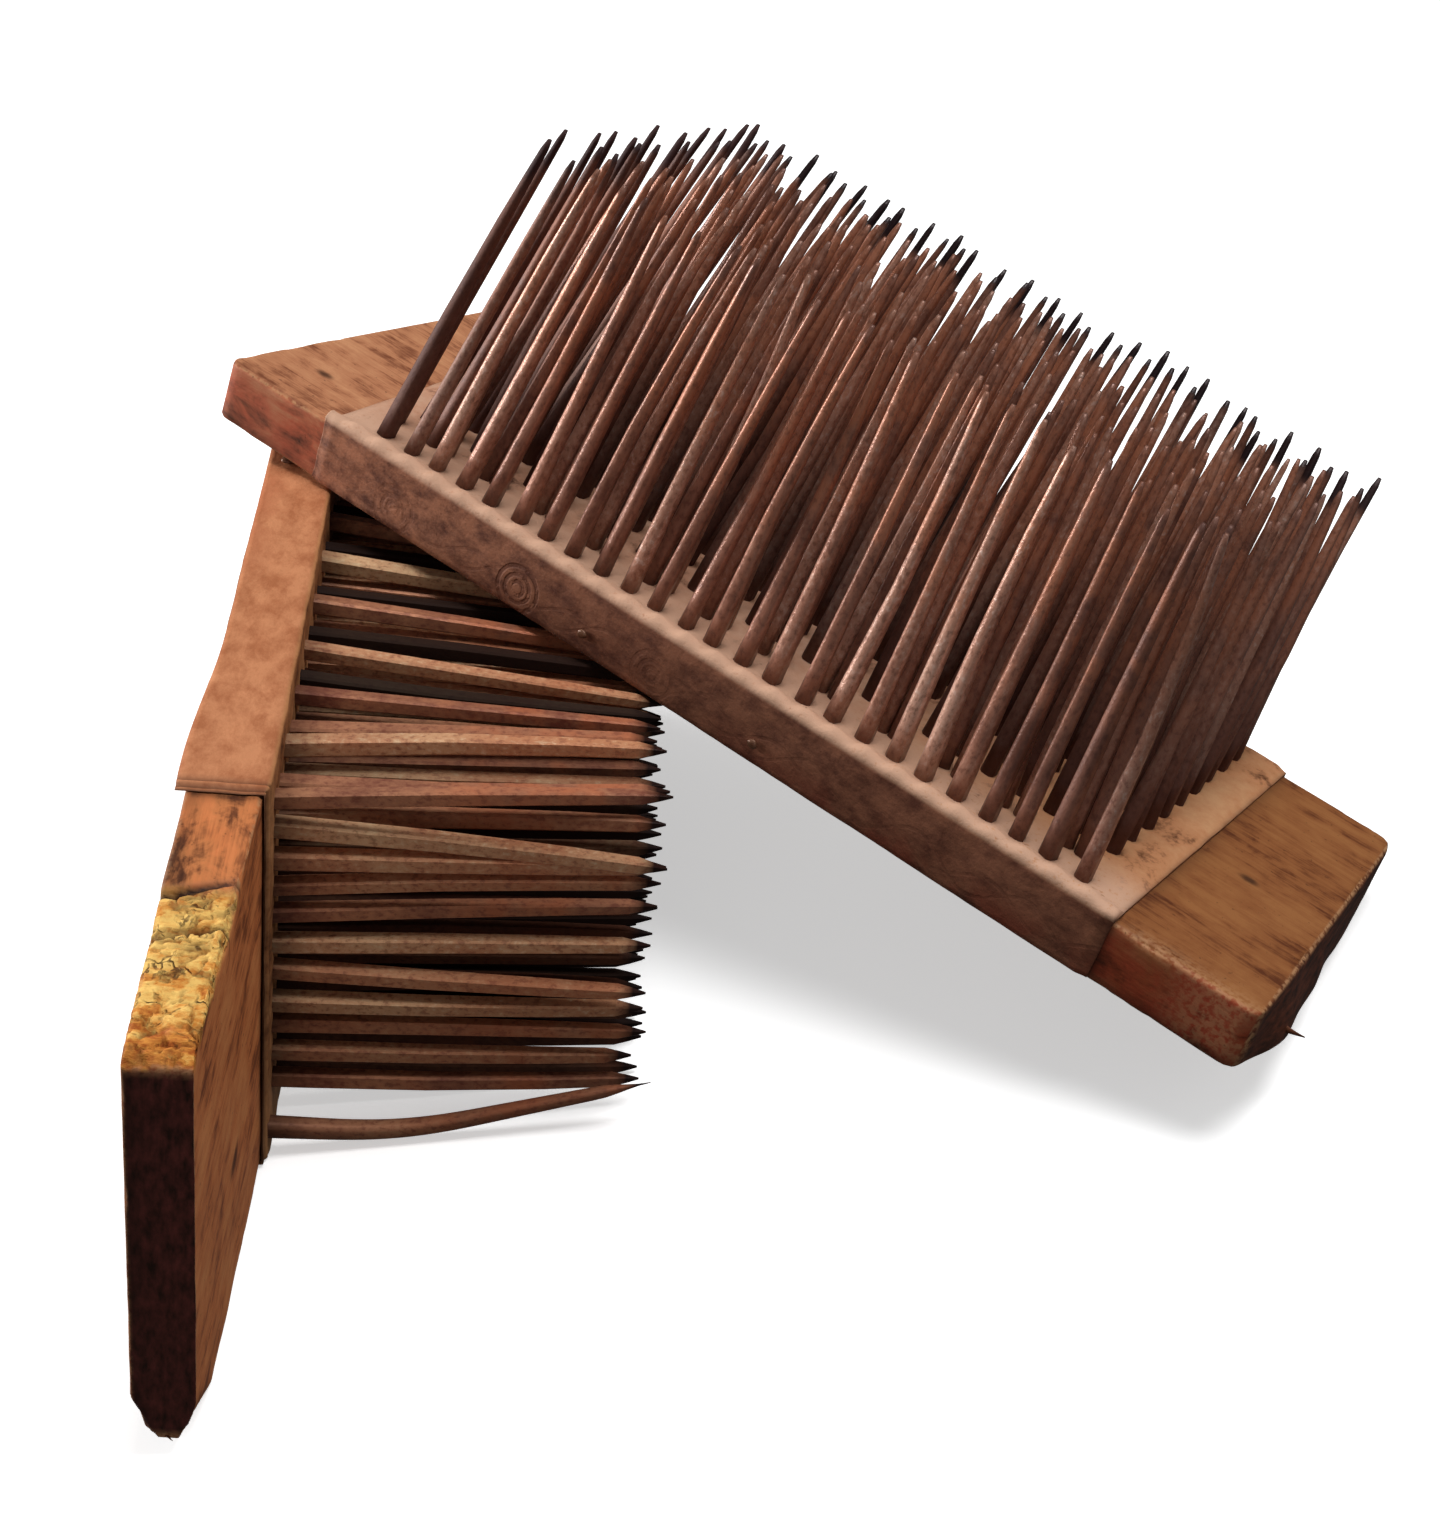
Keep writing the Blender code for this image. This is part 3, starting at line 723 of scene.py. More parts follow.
@dataclass(frozen=True)
class Board:
    """A wooden board with rounded corners, worn edges and skewed ends."""

    name: str
    node: str
    place: CombFrame
    length: float
    skew_start: float
    skew_end: float
    bare_start: float
    bare_end: float
    seed: int
    corner: float = 0.0040
    edge: float = 0.0011
    step: float = 0.0016
    deep_steps: int = 12
    hewn: bool = False
    hewn_run: float = 0.056
    hewn_step: float = 0.0007
    taper: float = 0.0028
    end_bulge: float = 0.0
    rubbed: bool = False
    seams: Span = (0.15, 0.5)
    seam_width: float = 0.0016
    wrapped_from: Span = (-0.0158, -0.0140)
    low_dirt: Span = (0.010, 0.0165)
    bulge_run: Span = (0.012, 0.002)
    rub_width: float = 0.0038
    rub_end: float = 0.03
    rub_top: Span = (-0.0022, -0.0006)
    rub_spots: Span = (-0.026, -0.010)
    swell_coarse: float = 0.00012
    swell_fine: float = 0.00006
    nick_depth: float = 0.0011
    flake_count: int = 110
    flake_rise: float = 0.0007
    tear_depth: float = 0.0009
    tear_edge: Span = (0.0034, 0.0006)
    tear_end: Span = (0.0500, 0.0530)
    raw_end: Span = (0.040, 0.050)
    chip_start: Span = (0.046, 0.054)
    jag: float = 0.0011
    jag_scale: float = 0.0030
    chops: tuple[Triple, ...] = ((0.0016, 0.056, 0.078), (0.0019, 0.0488, 0.0515))
    chop_slope: float = 0.55
    cracks: tuple[Triple, ...] = ((0.0525, 0.26, 0.0007), (0.0388, 0.35, 0.0005))
    crack_depth: float = 0.0013
    crack_edge: Span = (0.012, 0.001)
    back_break: Triple = (0.012, 0.014, 0.0065)
    face_break: Triple = (0.016, 0.013, -0.0045)

    def outline(self) -> tuple[Array, Array, Array, Array]:
        """Return the points of a rounded rectangle.

        Returns:
            Their shares of its half width and half depth, and the directions of its rounding.
        """
        turns = np.radians(np.linspace(0.0, 90.0, 5))
        wide = np.linspace(-1.0, 1.0, int(BOARD_WIDTH / self.step))[1:-1]
        deep = np.linspace(-1.0, 1.0, self.deep_steps)[1:-1]
        parts = []
        for quarter, straight in enumerate((wide[::-1], deep[::-1], wide, deep)):
            angle = turns + quarter * math.pi / 2
            sign_y = (1.0, -1.0, -1.0, 1.0)[quarter]
            sign_z = (1.0, 1.0, -1.0, -1.0)[quarter]
            arc = np.stack((np.full(5, sign_y), np.full(5, sign_z), np.cos(angle), np.sin(angle)))
            size = len(straight)
            if quarter % 2 == 0:
                line = (straight, np.full(size, sign_z), np.zeros(size), np.full(size, sign_z))
            else:
                line = (np.full(size, sign_y), straight, np.full(size, sign_y), np.zeros(size))
            parts += [arc, np.stack(line)]
        return tuple(np.concatenate(parts, axis=1))

    def end_stations(self, fine: bool) -> Array:
        """Return the rings of one half of the board, from its end inwards.

        Rings shrink to a line on the end face, round its edge, and then run along the board.

        Args:
            fine: Whether the rings stand closer together near the end.

        Returns:
            Four rows: distance from the end, how far a ring is drawn in across the board and
            through it, and its share of the end face.
        """
        inner = np.linspace(BOARD_THICKNESS / 2 - 1e-6, self.edge, 8)
        turn = np.radians(np.linspace(0.0, 90.0, 5))[1:]
        edge_x = self.edge * (1.0 - np.cos(turn))
        edge_in = self.edge * (1.0 - np.sin(turn))
        body = np.arange(self.edge, self.length / 2, self.step)[1:]
        if fine:
            close = np.arange(self.edge, self.hewn_run, self.hewn_step)[1:]
            body = np.concatenate((close, body[body > self.hewn_run]))
        along = np.concatenate((np.zeros(8), edge_x, body))
        inset = np.concatenate((inner, edge_in, np.zeros(len(body))))
        inside = np.clip(self.corner - along, 0.0, None)
        round_in = self.corner - np.sqrt(np.clip(self.corner**2 - inside**2, 0.0, None))
        cap = np.concatenate((np.ones(8), np.cos(turn), np.zeros(len(body))))
        return np.stack((along, inset + round_in, inset, cap))

    def stations(self) -> Array:
        """Return the rings of the whole board.

        Returns:
            Four rows like those of its halves.
        """
        near, far = self.end_stations(self.hewn), self.end_stations(False)[:, ::-1]
        far = np.concatenate((self.length - far[:1], far[1:]))
        return np.concatenate((near, far), axis=1)

    def build(self, material: bpy.types.Material) -> None:
        """Build the board: rings of a rounded rectangle, moved by noise, hewn where it is hewn.

        Args:
            material: Finish of the wood.
        """
        share_y, share_z, turn_y, turn_z = (part[None, :] for part in self.outline())
        x, inset_y, inset_z, cap = (part[:, None] for part in self.stations())
        radius = np.minimum(self.edge, BOARD_THICKNESS / 2 - inset_z)
        half_y = BOARD_WIDTH / 2 - inset_y - radius
        half_z = BOARD_THICKNESS / 2 - inset_z - radius
        y = BOARD_WIDTH / 2 + share_y * half_y + turn_y * radius
        z = -BOARD_THICKNESS / 2 + share_z * half_z + turn_z * radius
        run = x / self.length
        across = y / BOARD_WIDTH
        skew = self.skew_start * across * (1.0 - run) - self.skew_end * across * run
        points = np.stack((x + skew, y, z), axis=-1)
        flat = (1.0 - cap) * np.ones_like(y)
        ahead = cap * np.sign(run - 0.5) * np.ones_like(y)
        normal = np.stack((ahead, flat * turn_y, flat * turn_z), axis=-1)
        corner = np.clip(1.0 - np.abs(np.abs(turn_y) - np.abs(turn_z)), 0.0, 1.0) * flat
        corner = np.maximum(corner, 4.0 * cap * (1.0 - cap))
        noise = Grain(self.seed)
        start, stop = self.bulge_run
        low = ease(x, self.length - start, self.length - stop) * np.clip(-z / BOARD_THICKNESS, 0.0, 1.0)
        bulge = (1.0 - across) * ease(across, 0.0, 0.25) * (1.0 + 0.15 * noise.layer(points, 0.012))
        points[..., 0] += self.end_bulge * low * bulge
        swell = noise.rough(points, 0.030) * self.swell_coarse + noise.rough(points, 0.006) * self.swell_fine
        nick = np.clip(noise.rough(points, 0.0075) - 0.25, 0.0, None) * corner
        points = points + normal * (swell - nick * self.nick_depth)[..., None]
        values = {
            "end": cap * np.ones_like(y),
            "flank": np.abs(turn_y) * flat,
            "worn": np.clip(corner * 0.9 + nick, 0.0, 1.0),
            "dirt": self.dirt(points),
            "raw": np.zeros_like(y),
        }
        if self.rubbed:
            values["worn"] = np.maximum(values["worn"], self.rubbing(points, noise))
        if self.hewn:
            points = self.hew(points, values, noise)
        skin = Skin.tube(points, values, cap=False)
        hand_over(skin.piece(self.name, self.place, material), self.place, Slot.WOOD, self.node)

    def dirt(self, points: Array) -> Array:
        """Return how dark the wood is made: dirt and painted shade beside the sheet, and dirt along the
        bottom edges.

        Args:
            points: Points of the board.

        Returns:
            Values from 0 to 1.
        """
        x, z = points[..., 0], points[..., 2]
        # Dirt and painted shade on the wood beside the sheet's edges, where the sheet stands proud.
        near = self.seams[0] * np.exp(-np.abs(x - self.bare_start) / self.seam_width)
        far = self.seams[1] * np.exp(-np.abs(x - self.length + self.bare_end) / self.seam_width)
        wrapped = ease(z, *self.wrapped_from)
        low = ease(-z, *self.low_dirt) * 0.5
        return np.clip((near + far) * wrapped + low, 0.0, 1.0)

    def rubbing(self, points: Array, noise: Grain) -> Array:
        """Return how far the far end is rubbed: a band on top of its near edge and spots below that.

        Args:
            points: Points of the board.
            noise: The board's noise.

        Returns:
            Values from 0 to 1.
        """
        x, y, z = points[..., 0], points[..., 1], points[..., 2]
        left = x - self.length
        near = np.exp(-((np.clip(y, 0.0, None) / self.rub_width) ** 2))
        near = near * ease(left, -self.bare_end, -self.rub_end)
        top = ease(z, *self.rub_top)
        spots = ease(noise.rough(points, 0.008), 0.0, 0.35) * ease(left, *self.rub_spots)
        return near * 0.6 * (top + (1.0 - top) * spots)

    def flakes(self, x: Array, z: Array) -> tuple[Array, Array, Array]:
        """Return the flakes of torn wood: the cells nearest to scattered centres, each tilted.

        Args:
            x: Places along the board.
            z: Places through the board.

        Returns:
            The flakes' heights and tones, and how much of a crease each place is.
        """
        draw = np.random.default_rng(self.seed + 40)
        count = self.flake_count
        middle_x = draw.uniform(-0.002, self.hewn_run, count)
        middle_z = draw.uniform(-BOARD_THICKNESS - 0.002, 0.002, count)
        slope_x, slope_z = draw.normal(0.10, 0.16, count), draw.normal(0.0, 0.14, count)
        tones, open_creases = draw.random(count), draw.random(count)
        gap = np.hypot(x[..., None] - middle_x, (z[..., None] - middle_z) * 0.70)
        owner = np.argmin(gap, axis=-1)
        nearest = np.partition(gap, 1, axis=-1)
        height = (x - middle_x[owner]) * slope_x[owner] + (z - middle_z[owner]) * slope_z[owner]
        width = 0.00025 + 0.00045 * open_creases[owner]
        crease = np.exp(-(((nearest[..., 1] - nearest[..., 0]) / width) ** 2))
        return np.clip(height, -self.flake_rise, self.flake_rise), tones[owner], crease

    @staticmethod
    def broken(points: Array, corner: Triple, reach: Triple,
               rough: Array) -> Array:
        """Break off a corner: push what lies before a slanting plane back to about that plane.

        Args:
            points: Points of the board.
            corner: The corner.
            reach: Signed distances from the corner to where the plane meets the three edges.
            rough: Unevenness of the break, about -1 to 1.

        Returns:
            The moved points.
        """
        slope = 1.0 / np.array(reach)
        depth = np.clip(1.0 - (points - np.array(corner)) @ slope, 0.0, None) * (1.0 + 0.3 * rough)
        return points + depth[..., None] * slope / (slope @ slope)

    def hew(self, points: Array, values: dict[str, Array], noise: Grain) -> Array:
        """Cut the near end as an axe leaves it.

        The tine face thins towards the end, a chop runs along its top, the top is torn into
        flakes with two cracks across it, and the bottom corners are broken off.

        Args:
            points: Points of the board.
            values: Values on the points; those of raw and torn wood, of dirt and of darkened cracks are set
                here.
            noise: The board's noise.

        Returns:
            The moved points.
        """
        x, y, z = points[..., 0], points[..., 1].copy(), points[..., 2].copy()
        rough = noise.rough(points, 0.0085, 4)
        face = -self.taper * np.clip(1.0 - x / self.bare_start, 0.0, 1.0)
        z = np.minimum(z, face + noise.rough(points, 0.012) * 0.00015)
        jag = noise.rough(points, self.jag_scale, 3) * self.jag
        jag_z = noise.rough(points + 0.5, self.jag_scale, 3) * self.jag
        start, stop = self.tear_edge
        top = ease(y + jag + rough * 0.0008, BOARD_WIDTH - start, BOARD_WIDTH - stop)
        top = top * (1.0 - ease(x, *self.tear_end))
        height, tone, crease = self.flakes(x + jag, z + jag_z)
        crease = crease * ease(noise.rough(points + 0.2, 0.0045), -0.25, 0.2)
        y = y - top * (self.tear_depth - height + self.tear_depth * crease + 0.0003 * np.abs(rough))
        deep = sum(depth * (1.0 - ease(x, start, stop)) for depth, start, stop in self.chops)
        chop = z + deep - (BOARD_WIDTH - y) * self.chop_slope + rough * 0.0004
        cut = chop > 0.0
        z = np.where(cut, z - chop * 0.7, z)
        y = np.where(cut, y - chop * 0.3, y)
        crack = np.zeros_like(x)
        for place, slant, size in self.cracks:
            gap = np.abs(x - place - slant * (z + 0.009) - rough * 0.0006) / size
            crack = np.maximum(crack, np.exp(-gap * gap))
        start, stop = self.crack_edge
        crack = crack * ease(y, BOARD_WIDTH - start, BOARD_WIDTH - stop)
        y = y - crack * self.crack_depth
        torn = ease(chop * cut, 0.0, 0.0004) * (1.0 - ease(x, *self.raw_end))
        values["raw"] = np.clip(top + torn * 0.6, 0.0, 1.0)
        values["flake"] = tone
        values["crease"] = crease * top
        # Cracks are darkened.
        values["dirt"] = np.clip(values["dirt"] * (1.0 - values["raw"]) + crack * 1.2, 0.0, 1.0)
        chipped = ease(chop * cut, 0.0, 0.0003) * ease(x, *self.chip_start) * ease(rough, -0.5, 0.2)
        values["worn"] = np.maximum(values["worn"] * (1.0 - values["raw"]), chipped)
        points = np.stack((x, y, z), axis=-1)
        points = self.broken(points, (0.0, 0.0, -BOARD_THICKNESS), self.back_break, rough)
        return self.broken(points, (0.0, 0.0, -self.taper), self.face_break, rough)


@dataclass(frozen=True)
class TineField:
    """A field of forged tines in rows and columns, fanned out along and across the board.

    Spans of rows and columns are shares of the field, and foot_fade is shares of a tine's length.
    """

    name: str
    node: str
    place: CombFrame
    length: float
    rows: int
    columns: int
    row_first: float
    row_last: float
    column_first: float
    column_last: float
    tine_length: float
    fall_along: float
    fall_across: float
    lean_mean: float
    lean_fan: float
    across_mean: float
    across_fan: float
    seed: int
    stations: tuple[float, ...]
    widths: tuple[float, ...]
    front_lean: tuple[float, ...] = ()
    pressed: bool = False
    base_width: float = 0.0041
    # Painted shade for tines at the far end, deep in the field, named in the top row and at their feet; the
    # first columns and rows are darker too.
    painted_shade_end: float = 0.0
    painted_shade_deep: float = 0.0
    fringe: bool = False
    painted_shade_tines: tuple[int, ...] = ()
    paired: float = 0.0
    column_stagger: float = 0.0
    painted_shade_foot: float = 0.0
    dark_start: float = 0.0
    dark_low: float = 0.0
    twist: float = 0.22
    smooth: bool = True
    soft: float = 0.50
    deep_rows: Span = (0.0, 0.22)
    deep_start: Span = (0.0, 0.09)
    deep_end: Span = (0.30, 0.62)
    end_columns: Span = (0.82, 1.0)
    start_columns: Span = (0.02, 0.07)
    low_rows: Span = (0.0, 0.55)
    foot_rows: Span = (0.05, 0.22)
    foot_fade: Span = (0.12, 0.70)
    fringe_rows: Span = (0.78, 1.0)
    fringe_columns: Span = (0.0, 0.10)
    base_scatter: float = 0.00035
    tip_scatter: float = 0.0012
    tip_wear: float = 0.0016
    bow: float = 0.0007
    press_room: float = 0.0010
    press_pitch: float = 0.0028
    press_ramp: float = 0.030
    press_turn: float = math.radians(0.2)
    press_tries: int = 200

    def bases(self) -> Array:
        """Return the places of the tines in the sheet.

        A grid in which every other column may stand off across the board, and every other tine of
        the second row along it, close to its neighbour.

        Returns:
            Points as rows by columns by three.
        """
        row, column = np.arange(self.rows)[:, None], np.arange(self.columns)[None, :]
        x = np.linspace(self.column_first, self.column_last, self.columns)[None, :]
        y = np.linspace(self.row_first, self.row_last, self.rows)[:, None]
        x = x - self.paired * ((row == 1) & (column % 2 == 0))
        y = y + self.column_stagger * (column % 2)
        return np.stack(np.broadcast_arrays(x, y, np.float64(PROUD)), axis=-1)

    def tip_at(self, bases: Array, aside: Array) -> Array:
        """Return the tips for angles across the board.

        The length falls along and across the board, and the lean along it fans out from its middle.

        Args:
            bases: Places of the tines.
            aside: Their angles across the board.

        Returns:
            The tips.
        """
        run = 2.0 * bases[..., 0] / self.length - 1.0
        across = 2.0 * bases[..., 1] / BOARD_WIDTH - 1.0
        lean = np.radians(self.lean_mean - self.lean_fan * run)
        length = self.tine_length - self.fall_along * run - self.fall_across * across
        way = np.stack((np.sin(lean), np.sin(aside), np.cos(lean) * np.cos(aside)), axis=-1)
        return bases + way * length[..., None]

    def tips(self, bases: Array) -> Array:
        """Return the tips, with the rows under the upper board pressed down below its back.

        Args:
            bases: Places of the tines.

        Returns:
            The tips.
        """
        across = 2.0 * bases[..., 1] / BOARD_WIDTH - 1.0
        free = np.radians(self.across_mean + self.across_fan * across)
        if self.front_lean:
            free[:, 0] = np.radians(self.front_lean)
        if not self.pressed:
            return self.tip_at(bases, free)
        cover = upper_frame()
        up = np.array(cover.z_axis)
        floor = np.array(cover.origin) @ up - BOARD_THICKNESS
        room = self.press_room + self.press_pitch * np.arange(self.rows)[::-1][:, None]
        aside = free.copy()
        for _ in range(self.press_tries):
            over = self.place.world(self.tip_at(bases, aside)) @ up - floor > -room
            aside = np.where(over, aside - self.press_turn, aside)
        tip = self.place.world(self.tip_at(bases, aside)) - np.array(cover.origin)
        share = np.clip((tip @ np.array(cover.y_axis) + self.press_ramp) / self.press_ramp, 0.0, 1.0)
        return self.tip_at(bases, free + (aside - free) * share)

    def build(self, material: bpy.types.Material) -> None:
        """Build each row as one piece of slightly uneven, slightly bowed tines.

        Args:
            material: Finish of the tines.
        """
        draw = np.random.default_rng(self.seed)
        bases = self.bases()
        tips = self.tips(bases)
        count = self.rows * self.columns
        shift = draw.normal(0.0, self.base_scatter, (count, 2)).reshape(self.rows, self.columns, 2)
        bases = bases + np.concatenate((shift, np.zeros((self.rows, self.columns, 1))), axis=-1)
        loose = 0.25 if self.pressed else 1.0
        spread = draw.normal(0.0, self.tip_scatter, (self.rows, self.columns, 3))
        spread = spread * np.array((1.0, loose, 0.0))
        drop = draw.normal(0.0, self.tip_wear, (self.rows, self.columns, 1))
        ahead = tips - bases
        ahead = ahead / np.linalg.norm(ahead, axis=-1, keepdims=True)
        tips = tips + spread - ahead * np.abs(drop)
        shade_and_tips = self.shade_and_tips()
        for row in range(self.rows):
            self.build_row(row, bases[row], tips[row], tuple(part[row] for part in shade_and_tips), draw, material)

    def shade_and_tips(self) -> tuple[Array, Array, Array]:
        """Return the painted shade of each tine, the darkness of its tip and the painted shade of its foot.

        Painted shade darkens tines at the far end, deep in the field, where single ones are named and
        at the feet of the back rows; the first columns and the first rows are darker too. With a fringe,
        only tips of the back rows and of the first columns are dark.

        Returns:
            The darkness of the tines, of their tips and of their feet, as rows by columns.
        """
        column = np.linspace(0.0, 1.0, self.columns)[None, :]
        row = np.linspace(0.0, 1.0, self.rows)[:, None]
        # Painted shade deep in the field: rows below the top one, from the second column on, where the gaps
        # lie in shade.
        inside = ease(column, *self.deep_start) * (1.0 - ease(column, *self.deep_end))
        deep = self.painted_shade_deep * ease(1.0 - row, *self.deep_rows) * inside
        # Painted shade on the far columns.
        shade = np.maximum(deep, self.painted_shade_end * ease(column, *self.end_columns))
        shade = np.maximum(shade, self.dark_start * (1.0 - ease(column, *self.start_columns)))
        shade = np.maximum(shade, self.dark_low * (1.0 - ease(row, *self.low_rows)))
        # Named tines of the top row get the same painted shade.
        shade[-1, list(self.painted_shade_tines)] = self.painted_shade_deep
        # Painted shade at the feet of the back rows, down among the tines.
        foot = self.painted_shade_foot * ease(row, *self.foot_rows) * np.ones_like(shade)
        tip = np.ones_like(shade)
        if self.fringe:
            tip = np.maximum(ease(row, *self.fringe_rows), 1.0 - ease(column, *self.fringe_columns))
        return shade, tip, foot

    def build_row(self, row: int, bases: Array, tips: Array, shade_and_tips: tuple[Array, Array, Array],
                  draw: np.random.Generator, material: bpy.types.Material) -> None:
        """Build one row: a rounded square carried along each tine, narrowing to its point.

        Args:
            row: Number of the row from the near long edge, from 0.
            bases: Bases of the row's tines.
            tips: Tips of the row's tines.
            shade_and_tips: How dark the row's tines, their tips and their feet are.
            draw: Seeded random numbers.
            material: Finish of the tines.
        """
        count = len(bases)
        share = np.array(self.stations)
        width = np.array(self.widths)
        size = self.base_width * draw.uniform(0.90, 1.08, count)
        bow = draw.normal(0.0, self.bow, (count, 2))
        twist = draw.normal(0.0, self.twist, count)
        own = draw.random(count)
        spine = bases[:, None] + (tips - bases)[:, None] * share[None, :, None]
        arch = np.sin(np.pi * np.clip(share, 0.0, 1.0))[None, :]
        spine[..., 0] += bow[:, :1] * arch
        spine[..., 1] += bow[:, 1:] * arch * (0.4 if self.pressed else 1.0)
        soft = self.soft
        corners = np.array(((1, -soft), (1, soft), (soft, 1), (-soft, 1),
                            (-1, soft), (-1, -soft), (-soft, -1), (soft, -1)))
        cosine, sine = np.cos(twist)[:, None], np.sin(twist)[:, None]
        turned_x = corners[None, :, 0] * cosine - corners[None, :, 1] * sine
        turned_y = corners[None, :, 0] * sine + corners[None, :, 1] * cosine
        half = (size[:, None] * width[None, :] / 2.0)[..., None]
        rings = np.repeat(spine[:, :, None], len(corners), axis=2)
        rings[..., 0] += turned_x[:, None] * half
        rings[..., 1] += turned_y[:, None] * half
        shape = rings.shape[:3]
        # Painted shade at the feet, fading up the tine.
        foot = shade_and_tips[2][:, None, None] * (1.0 - ease(share, *self.foot_fade))[None, :, None]
        values = {
            "own": np.broadcast_to(own[:, None, None], shape),
            "run": np.broadcast_to(np.clip(share, 0.0, 1.0)[None, :, None], shape),
            "shade": np.broadcast_to(np.maximum(shade_and_tips[0][:, None, None], foot), shape),
            "tip": np.broadcast_to(shade_and_tips[1][:, None, None], shape),
        }
        skin = Skin.bundle(rings, values)
        piece = skin.piece(f"{self.name}_{row + 1:02d}", self.place, material, self.smooth)
        hand_over(piece, self.place, Slot.TINE, f"{self.node}_{row + 1:02d}")


@dataclass(frozen=True)
class Sheet:
    """The hide wrapped over the board's middle, from hem to hem."""

    name: str
    node: str
    place: CombFrame
    field: TineField
    start: float
    end: float
    seed: int
    lip: float
    seams: Span
    grooves: tuple[float, ...] = ()
    hem_drop: float = 0.0
    step: float = 0.0011
    hem: float = 0.0006
    wall_steps: int = 14
    coarse_lump: float = 0.00014
    fine_lump: float = 0.00008
    flank_sink: float = 0.00022
    tine_dent: float = 0.0005
    edge_drop: float = 0.0008
    edge_run: float = 0.0032
    groove_depth: float = 0.0006
    groove_width: float = 0.00045
    fray: float = 0.00035
    lip_middle: float = 0.0012
    lip_width: float = 0.0026

    def profile(self) -> tuple[Array, Array, Array]:
        """Return the outer side of the section, from hem to hem.

        Returns:
            Its points across and through the board, and its outward direction across the board.
        """
        drop = np.linspace(-BOARD_THICKNESS + self.hem, SEAT_GAP, self.wall_steps + 1)[:-1]
        top = np.linspace(-SEAT_GAP, BOARD_WIDTH + SEAT_GAP, int(BOARD_WIDTH / self.step))[1:-1]
        turn = np.radians(np.linspace(180.0, 90.0, 6))
        back = turn[::-1]
        wall, flat = np.ones(self.wall_steps), np.zeros(len(top))
        near_y, near_z = -SEAT_GAP + SHEET * np.cos(turn), SEAT_GAP + SHEET * np.sin(turn)
        far_y, far_z = BOARD_WIDTH + SEAT_GAP - SHEET * np.cos(back), SEAT_GAP + SHEET * np.sin(back)
        y = np.concatenate((-PROUD * wall, near_y, top, far_y, (BOARD_WIDTH + PROUD) * wall))
        z = np.concatenate((drop, near_z, flat + PROUD, far_z, drop[::-1]))
        out_y = np.concatenate((-wall, np.cos(turn), flat, -np.cos(back), wall))
        return y, z, out_y

    def build(self, material: bpy.types.Material) -> None:
        """Build the sheet: outer and inner sides of one section carried along the board.

        Args:
            material: Finish of the hide.
        """
        y, z, out_y = self.profile()
        out_z = np.sqrt(np.clip(1.0 - out_y**2, 0.0, None))
        ends = np.array((0.0, 0.0003, 0.0008, 0.0014, 0.0020, 0.0026, 0.0032))
        middle = np.arange(self.start + 0.004, self.end - 0.0035, self.step)
        x = np.concatenate((self.start + ends, middle, self.end - ends[::-1]))
        count, size = len(x), len(y)
        points = np.stack(np.broadcast_arrays(x[:, None], y[None, :], z[None, :]), axis=-1).copy()
        slack = self.hem_drop * (1.0 - ease(points[..., 0], self.start + 0.010, self.start + 0.065))
        points[..., 2] += np.where(out_y > 0.9, slack * np.clip(z / BOARD_THICKNESS, -1.0, 0.0), 0.0)
        noise = Grain(self.seed)
        flat = out_z[None, :] ** 4
        lump = noise.rough(points, 0.010) * self.coarse_lump
        lump = lump + noise.rough(points, 0.0032, 2) * self.fine_lump - self.flank_sink * (1.0 - flat)
        reach = self.tine_reach(points)
        dent = self.edge_lip(points) * flat + lump
        dent = dent - self.tine_dent * np.exp(-((reach / 0.0030) ** 2)) * flat
        edge = np.minimum(points[..., 0] - self.start, self.end - points[..., 0])
        dent -= self.edge_drop * (1.0 - ease(edge, 0.0, self.edge_run))
        groove = np.zeros((count, size))
        for place in self.grooves:
            groove = np.maximum(groove, np.exp(-(((points[..., 0] - place) / self.groove_width) ** 2)))
        dent -= self.groove_depth * groove
        frayed = noise.layer(points, 0.004) * self.fray * (1.0 - ease(edge, 0.0, 0.0030))
        outer = points.copy()
        outer[..., 0] += frayed
        outer[..., 1] += out_y * dent
        outer[..., 2] += out_z * dent
        inner = points.copy()
        inner[..., 0] += frayed
        inner[..., 1] -= out_y * SHEET
        inner[..., 2] -= out_z * SHEET
        rings = np.concatenate((outer, inner[:, ::-1]), axis=1)
        side = np.abs(out_y)[None, :] * np.ones((count, 1))
        near = (out_y < -0.9)[None, :] * np.ones((count, 1))
        # Paler near the front edge: wear, and painted light on the margin before the first rows.
        worn_and_lit_margin = (1.0 - ease(points[..., 1], 0.0060, 0.0240)) * flat
        values = {
            "flank": self.doubled(side**2),
            "marked": self.doubled(near),
            "worn": self.doubled(np.clip(worn_and_lit_margin + 0.5 * (1.0 - np.abs(side * 2 - 1.0)), 0.0, 1.0)),
            # The grooves are darkened with painted shade.
            "dirt": self.doubled(np.clip(self.dirt_and_shade(points, reach) + groove, 0.0, 1.0)),
        }
        skin = Skin.tube(rings, values)
        hand_over(skin.piece(self.name, self.place, material), self.place, Slot.SHEET, self.node)

    @staticmethod
    def doubled(values: Array) -> Array:
        """Return values of the outer side followed by the same for the inner side."""
        return np.concatenate((values, values[:, ::-1]), axis=1)

    def tine_reach(self, points: Array) -> Array:
        """Return how far each point is from the nearest tine.

        Args:
            points: Points of the sheet.

        Returns:
            The distances.
        """
        bases = self.field.bases().reshape(-1, 3)
        gap_x = points[..., 0, None] - bases[:, 0]
        gap_y = points[..., 1, None] - bases[:, 1]
        return np.sqrt((gap_x**2 + gap_y**2).min(axis=-1))

